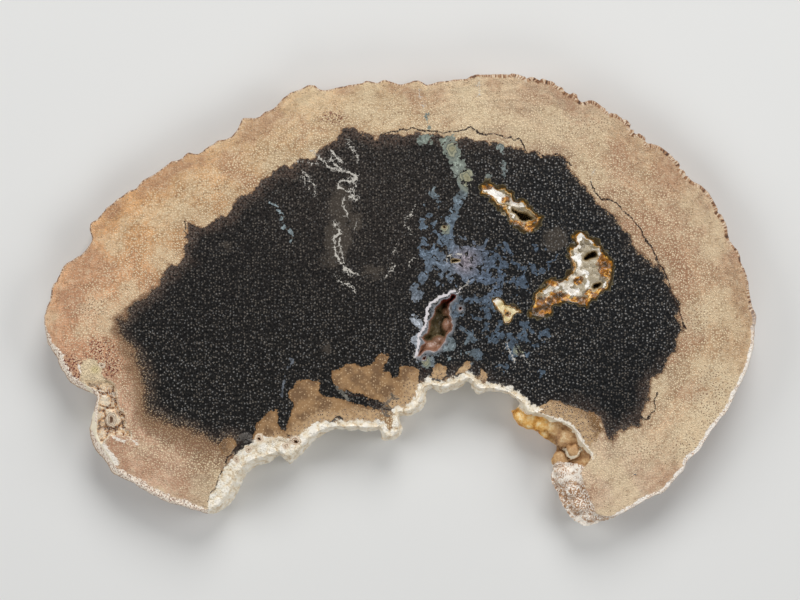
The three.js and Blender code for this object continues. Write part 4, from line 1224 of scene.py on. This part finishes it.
    # blue-grey agate veins with pale crisp edges and black islands, and looser blots round them
    flow = grains["flow"]
    vein = field(tree, "vein", (flow, 2.2), (wisp, 1.1))
    blots = timesPlus(tree, flow, 22.0, -13.3)
    blots = minus(tree, blots, sloped(tree, field(tree, "bluish"), 0.0, 7.0, 4.0, 0.0))
    vein = most(tree, vein, blots)
    islands = noise(tree, place, 0.33, 2.5, distortion=0.6)
    vein = minus(tree, vein, sloped(tree, islands, 0.57, 0.66, 0.0, 5.0))
    veinShare = sloped(tree, vein, -0.2, 0.35, 0.0, 0.92)
    banding = noise(tree, place, 0.5, 3.0, distortion=1.2)
    veinTone = ranged(tree, banding, 0.35, 0.68, 0.5, 1.7)
    contour = add(tree, "Math", {0: vein, 1: 1.1}, operation="PINGPONG")
    veinTone = times(tree, veinTone, sloped(tree, contour, 0.0, 0.45, 1.75, 0.95))
    veinColour = scaled(tree, add(tree, "Attribute", attribute_name="veinTint"), veinTone)
    ring = field(tree, "ring", (wisp, 0.2))
    ringColour = ramp(tree, ring, [
        (0.0, "#6c7772"), (0.2, "#8b9084"), (0.34, "#5d665f"), (0.48, "#b3b094"), (0.58, "#6f7364"),
        (0.76, "#a5a183"), (0.95, "#7b775c")])
    veinColour = blend(tree, sloped(tree, ring, -0.1, 0.15), veinColour, ringColour)
    colour = blend(tree, veinShare, colour, veinColour)

    # white veinlets, a broken network along drawn lines, and dark cracks
    pale = field(tree, "pale", (fine, 0.35))
    network = add(tree, "TexVoronoi", {"Vector": shaken, "Scale": 0.4, "Randomness": 1.0},
                  voronoi_dimensions="2D", feature="DISTANCE_TO_EDGE")
    network = sloped(tree, network, 0.02, 0.07, 0.9, 0.0)
    network = times(tree, network, sloped(tree, field(tree, "pale", (wisp, 0.9)), -1.1, -0.3))
    network = times(tree, network, sloped(tree, drift, 0.42, 0.52))
    lines = times(tree, sloped(tree, pale, -0.1, 0.2), sloped(tree, fine, 0.36, 0.48))
    paleShare = most(tree, lines, network)
    colour = blend(tree, times(tree, paleShare, 0.9), colour, wood["veinletWhite"])
    crackShare = sloped(tree, field(tree, "crack", (fine, 0.3)), -0.15, 0.2)
    crackShare = times(tree, crackShare, sloped(tree, fine, 0.38, 0.5, 0.5, 1.0))
    colour = blend(tree, crackShare, colour, wood["crackBrown"])
    return colour, coreShare, outerDot


def agateColour(tree, grains, colour):
    # banded honey agate round the hollows, white crystal inside it, and the hollows' own walls
    place, fine, wisp = grains["place"], grains["fine"], grains["wisp"]
    vug = field(tree, "vug", (grains["flow"], 1.5), (wisp, 0.6))
    bands = ramp(tree, ranged(tree, vug, -0.2, 5.8), [
        (0.0, "#7b7258"), (0.05, "#54482c"), (0.1, "#30240c"), (0.2, "#3c2c0e"), (0.27, "#5d430f"),
        (0.33, "#a06a14"), (0.37, "#b9801f"), (0.4, "#e9d6ad"), (0.44, "#6e4c17"), (0.5, "#8f7c55"),
        (0.6, "#93856b"), (0.8, "#7d715c"), (1.0, "#aea188")])
    colour = blend(tree, sloped(tree, vug, -0.35, 0.05), colour, bands)
    # the white crystal goes from grey to white facet by facet and in soft swells: partly painted shade and
    # light on its facets, partly its own tone
    facetShade = add(tree, "TexVoronoi", {"Vector": place, "Scale": 0.34, "Randomness": 1.0}, out=1)
    facetShade = timesPlus(tree, axis(tree, facetShade, 0), 0.3, grains["drift"])
    crystal = ramp(tree, facetShade, [
        (0.4, "#a39680"), (0.54, "#d8cdb9"), (0.64, wood["crystalWhite"]), (0.9, "#fffcf6")])
    yellowish = awayFrom(tree, place, wood["yellowHollow"])
    crystal = blend(tree, sloped(tree, yellowish, 5.0, 9.0, 0.75, 0.0), crystal, "#dcc684")
    whiteShare = sloped(tree, field(tree, "white", (fine, 0.2), (wisp, 0.9)), -0.1, 0.12)
    whiteShare = times(tree, whiteShare, sloped(tree, vug, 1.9, 2.15))
    colour = blend(tree, whiteShare, colour, crystal)
    amberShare = sloped(tree, field(tree, "amber", (wisp, 1.4)), -0.4, 0.5, 0.0, 0.95)
    amberShare = times(tree, amberShare, sloped(tree, vug, 1.3, 1.7))
    # the amber's own dark and bright swirls, with a narrow pale yellow stop as a painted highlight
    amberSwirlAndGlint = noise(tree, place, 0.26, 2.0, distortion=0.7)
    amberTone = timesPlus(tree, fine, 0.07, amberSwirlAndGlint)
    amber = ramp(tree, amberTone, [
        (0.37, "#3a250a"), (0.47, "#6b430c"), (0.54, wood["amberDeep"]), (0.61, wood["amberBright"]),
        (0.65, "#f0c463"), (0.68, "#b06c0e"), (0.76, "#57370d")])
    colour = blend(tree, amberShare, colour, amber)
    # a pale lilac band rims the rusty cleft
    hollow = field(tree, "hollow")
    rustyShare = sloped(tree, field(tree, "rusty"), 0.0, 1.0)
    rimBand = ramp(tree, ranged(tree, field(tree, "hollow", (wisp, 0.8)), -3.5, 0.5), [
        (0.0, "#33373b"), (0.45, "#4d5155"), (0.7, "#6d7074"), (0.88, "#8d8b8e"), (1.0, "#a59a98")])
    rimShare = times(tree, sloped(tree, field(tree, "hollow", (wisp, 2.2)), -1.9, -0.9), rustyShare)
    colour = blend(tree, rimShare, colour, rimBand)
    lilac = times(tree, sloped(tree, field(tree, "pale", (fine, 0.4)), -0.3, 0.1), rustyShare)
    colour = blend(tree, lilac, colour, "#dcd6d8")
    # the hollows' walls darken from cream at the rim to grey-tan deep down: painted shade
    sunk = ranged(tree, axis(tree, place, 2), thickness, 5.0)
    shadedWall = ramp(tree, sunk, [
        (0.0, "#d9cbb0"), (0.12, "#b8a684"), (0.3, "#a8946e"), (1.0, "#9c8a68")])
    rustyWall = ramp(tree, sunk, [
        (0.0, "#c9b3aa"), (0.05, "#9a7565"), (0.2, "#a1775f"), (0.32, "#7d5c45"), (0.5, "#978866"),
        (1.0, "#958765")])
    # dark red at the cleft's upper end
    redShare = sloped(tree, axis(tree, place, 1), *wood["redCleftY"])
    rustyWall = blend(tree, redShare, rustyWall, "#6b2a20")
    shadedWall = blend(tree, rustyShare, shadedWall, rustyWall)
    return blend(tree, sloped(tree, hollow, -0.25, 0.3), colour, shadedWall)


def eyeRings(tree, grains):
    # how much of a banded eye a place has, and the eye's colour there
    eye = field(tree, "eye", (grains["wisp"], 0.14))
    rings = ramp(tree, eye, [
        (0.02, "#f3e3cc"), (0.2, "#c4a684"), (0.32, "#f8ecd8"), (0.5, "#a67f5e"), (0.62, "#f0dfc6"),
        (0.78, "#8d6a4c"), (0.92, "#6b4d38")])
    return sloped(tree, eye, -0.05, 0.1), rings


def chalkColour(tree, grains):
    # knobbly white chalcedony, darkened to brown in its creases as painted shade, with a few banded eyes
    tone = timesPlus(tree, grains["wisp"], 0.5, times(tree, grains["fine"], 0.3))
    # the creases darken the tone: painted shade
    tone = timesPlus(tree, field(tree, "creaseShade"), 0.3, tone)
    chalk = ramp(tree, tone, [
        (0.46, wood["chalkLight"]), (0.56, "#f3e7d0"), (0.66, "#dbc4a2"), (0.78, "#9a775a")])
    eyeShare, rings = eyeRings(tree, grains)
    return blend(tree, eyeShare, chalk, rings)


def chippedBark(tree, grains):
    # the bark's chipped edge: brown teeth above, cream with dark pits low down
    teeth = {0: times(tree, field(tree, "along"), 0.75), 1: times(tree, grains["fine"], 0.6)}
    teeth = add(tree, "CombineXYZ", teeth)
    teeth = noise(tree, teeth, 1.0, 3.0)
    teeth = ramp(tree, teeth, [
        (0.34, "#4a2f20"), (0.42, "#8a6040"), (0.5, "#b78e6a"), (0.57, "#ecd9be"), (0.63, "#9a6e4c")])
    fresh = ramp(tree, grains["fine"], [
        (0.34, "#fff6e8"), (0.54, "#f8e6d0"), (0.58, "#b07a60"), (0.615, "#5a2f22"), (0.68, "#f6e6d2")])
    across = axis(tree, grains["place"], 0)
    slivers = sloped(tree, across, *wood["whiteSliverX"], 0.0, 0.85)
    slivers = times(tree, slivers, sloped(tree, grains["wisp"], 0.42, 0.52))
    fresh = blend(tree, slivers, fresh, "#fbf4ea")
    return blend(tree, field(tree, "chip"), teeth, fresh)


def wriggles(tree, grains):
    # thin winding ridges, 1 on a ridge and 0 between
    winding = noise(tree, grains["place"], 0.26, 1.5, distortion=2.2)
    winding = add(tree, "Math", {0: times(tree, winding, 8.5), 1: 1.0}, operation="PINGPONG")
    return sloped(tree, winding, 0.55, 0.78)


def polishedPalmWood():
    # silicified palm wood, sawn and polished: a glassy, even face with the pattern under it
    material, tree = emptyMaterial("polished silicified palm wood")
    grains = stoneNoises(tree)
    fine, wisp = grains["fine"], grains["wisp"]
    colour, coreShare, outerDot = palmWoodColour(tree, grains)
    colour = agateColour(tree, grains, colour)

    # the crust laps onto the face, and the pocket in the left lobe is lined with pinkish chalcedony
    chalk = chalkColour(tree, grains)
    overLap = minus(tree, field(tree, "faceAway", (wisp, 2.2)), field(tree, "lap"))
    crust = times(tree, sloped(tree, field(tree, "bay", (wisp, 0.2)), 0.35, 0.6),
                  sloped(tree, overLap, 0.2, 1.2, 1.0, 0.0))
    crustLine = sloped(tree, field(tree, "crust", (wisp, 1.3), (fine, 0.3)), -0.2, 0.3, 0.0, 0.84)
    crust = most(tree, crust, crustLine)
    colour = blend(tree, crust, colour, chalk)
    eyeShare, rings = eyeRings(tree, grains)
    colour = blend(tree, eyeShare, colour, rings)
    # the lining darkens to brown in the pocket's creases: painted shade
    lining = timesPlus(tree, field(tree, "creaseShade"), 0.8, wisp)
    lining = ramp(tree, lining, [
        (0.62, "#ffe9c9"), (0.82, "#f3d0a5"), (0.98, "#c79262"), (1.0, "#7a4c2c")])
    lining = blend(tree, times(tree, sloped(tree, fine, 0.56, 0.62), 0.3), lining, "#8a4a38")
    upOrDown = axis(tree, grains["place"], 1)
    creamShare = sloped(tree, upOrDown, *wood["creamPocketY"], 0.0, 0.8)
    lining = blend(tree, creamShare, lining, "#ead3ab")
    ridges = wriggles(tree, grains)
    ridged = blend(tree, times(tree, ridges, 0.75), lining, "#fff6e2")
    ridgedShare = sloped(tree, upOrDown, *wood["ridgedPocketY"], 0.0, 0.8)
    lining = blend(tree, ridgedShare, lining, ridged)
    greenish = awayFrom(tree, grains["place"], wood["greenKnob"])
    lining = blend(tree, sloped(tree, greenish, 0.3, 3.6, 0.5, 0.0), lining, "#cbbb78")
    lining = blend(tree, eyeShare, lining, rings)
    pocketShare = sloped(tree, field(tree, "pocket", (wisp, 1.5), (grains["drift"], 1.2)), -0.4, 0.5)
    colour = blend(tree, pocketShare, colour, lining)

    roughness = ranged(tree, fine, 0.3, 0.7, 0.26, 0.4)
    # the outer wood's bundles stand proud, in bumps that fade in the heart and make its polish look duller
    lift = timesPlus(tree, fine, 0.8, outerDot)
    lift = times(tree, lift, ranged(tree, coreShare, start=1.0, end=0.12))
    lift = timesPlus(tree, times(tree, ridges, pocketShare), 3.2, lift)
    normal = add(tree, "Bump", {"Strength": 0.8, "Distance": 0.00035, "Height": lift})
    finishMaterial(tree, colour, roughness, wood["ior"], normal)
    return material


def naturalRim():
    # the broken side: weathered bark, white chalcedony in the bay, honey chalcedony on the ledge
    material, tree = emptyMaterial("weathered rim and chalcedony")
    grains = stoneNoises(tree)
    place, fine, wisp = grains["place"], grains["fine"], grains["wisp"]
    upright = add(tree, "VectorMath", {0: place, 1: (1.0, 1.0, 0.07)}, operation="MULTIPLY")
    fibre = noise(tree, upright, 0.85, 4.0, roughness=0.62)
    creaseShade = field(tree, "creaseShade")
    # the bark is darker in its creases and fibre grooves: painted shade
    tone = timesPlus(tree, creaseShade, -0.25, fibre)
    bark = ramp(tree, tone, [
        (0.22, "#6a4a32"), (0.38, "#8e6a48"), (0.5, "#ab8660"), (0.62, "#c5a47c"), (0.75, "#dfcbaa")])
    chipped = sloped(tree, field(tree, "share"), 0.75, 1.0, 1.0, 0.0)
    bark = blend(tree, chipped, bark, chippedBark(tree, grains))
    chalk = chalkColour(tree, grains)
    # the honey chalcedony is darker in its creases too: painted shade
    honeyTone = timesPlus(tree, creaseShade, -0.26, wisp)
    honeyTone = timesPlus(tree, fine, 0.25, honeyTone)
    honeyTone = minus(tree, honeyTone, 0.125)
    honey = ramp(tree, honeyTone, [
        (0.12, "#7a4a16"), (0.27, "#c98a34"), (0.38, "#e6ac54"), (0.5, "#f4cd86"), (0.64, "#fbeabf")])
    brownStone = ramp(tree, honeyTone, [
        (0.12, "#4a2b17"), (0.22, "#86603c"), (0.36, "#ae855a"), (0.5, "#c49c6c"), (0.66, "#e2cba0")])
    honey = blend(tree, sloped(tree, axis(tree, place, 0), *wood["brownLedgeX"]), honey, brownStone)
    eyeShare, rings = eyeRings(tree, grains)
    honey = blend(tree, eyeShare, honey, rings)
    crinkle = blend(tree, sloped(tree, fine, 0.4, 0.6), "#936a4b", "#c59d76")
    crinkle = blend(tree, times(tree, wriggles(tree, grains), 0.95), crinkle, "#fdf6ea")
    upOrDown = axis(tree, place, 1)
    whiteEnd = sloped(tree, upOrDown, *wood["whiteTipEndY"])
    whiteEnd = most(tree, sloped(tree, upOrDown, *wood["whiteTipY"]), whiteEnd)
    whiteEnd = times(tree, whiteEnd, sloped(tree, wisp, 0.46, 0.56, 0.1, 0.9))
    crinkle = blend(tree, whiteEnd, crinkle, "#fbf3e6")
    colour = blend(tree, sloped(tree, field(tree, "tip", (wisp, 0.1)), 0.4, 0.6), bark, crinkle)
    colour = blend(tree, sloped(tree, field(tree, "ledge", (wisp, 0.1)), 0.4, 0.6), colour, honey)
    bayShare = sloped(tree, field(tree, "bay", (wisp, 0.1)), 0.4, 0.6)
    colour = blend(tree, bayShare, colour, chalk)
    colour = blend(tree, sloped(tree, field(tree, "crust", (wisp, 0.5)), -0.2, 0.2), colour, "#f2e6cc")
    roughness = ranged(tree, bayShare, start=0.62, end=0.42)
    lift = timesPlus(tree, fibre, 1.0, fine)
    normal = add(tree, "Bump", {"Strength": 0.6, "Distance": 0.0004, "Height": lift})
    finishMaterial(tree, colour, roughness, wood["ior"], normal)
    return material


def sawnBack():
    # the same stone as the saw left it: duller and greyer, with fine straight saw marks
    material, tree = emptyMaterial("sawn silicified palm wood")
    grains = stoneNoises(tree)
    colour = palmWoodColour(tree, grains)[0]
    marks = add(tree, "VectorMath", {0: grains["place"], 1: (0.02, 1.0, 1.0)}, operation="MULTIPLY")
    marks = noise(tree, marks, 0.7, 3.0)
    dust = ranged(tree, marks, 0.3, 0.7, 0.1, 0.32)
    colour = blend(tree, dust, colour, "#a69b8c")
    roughness = ranged(tree, marks, 0.3, 0.7, 0.6, 0.8)
    normal = add(tree, "Bump", {"Strength": 0.4, "Distance": 0.0002, "Height": marks})
    finishMaterial(tree, colour, roughness, wood["ior"], normal)
    return material


def paperSweep():
    # plain matt background paper
    material, tree = emptyMaterial("matt background paper")
    finishMaterial(tree, linearColour(floorSetup["colour"]), floorSetup["roughness"], floorSetup["ior"])
    return material


for makeStone in (polishedPalmWood, naturalRim, sawnBack):
    slabMesh.materials.append(makeStone())
floorMesh.materials.append(paperSweep())
print("stone coloured")

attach(slab, "root")
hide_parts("slab")
print("done")
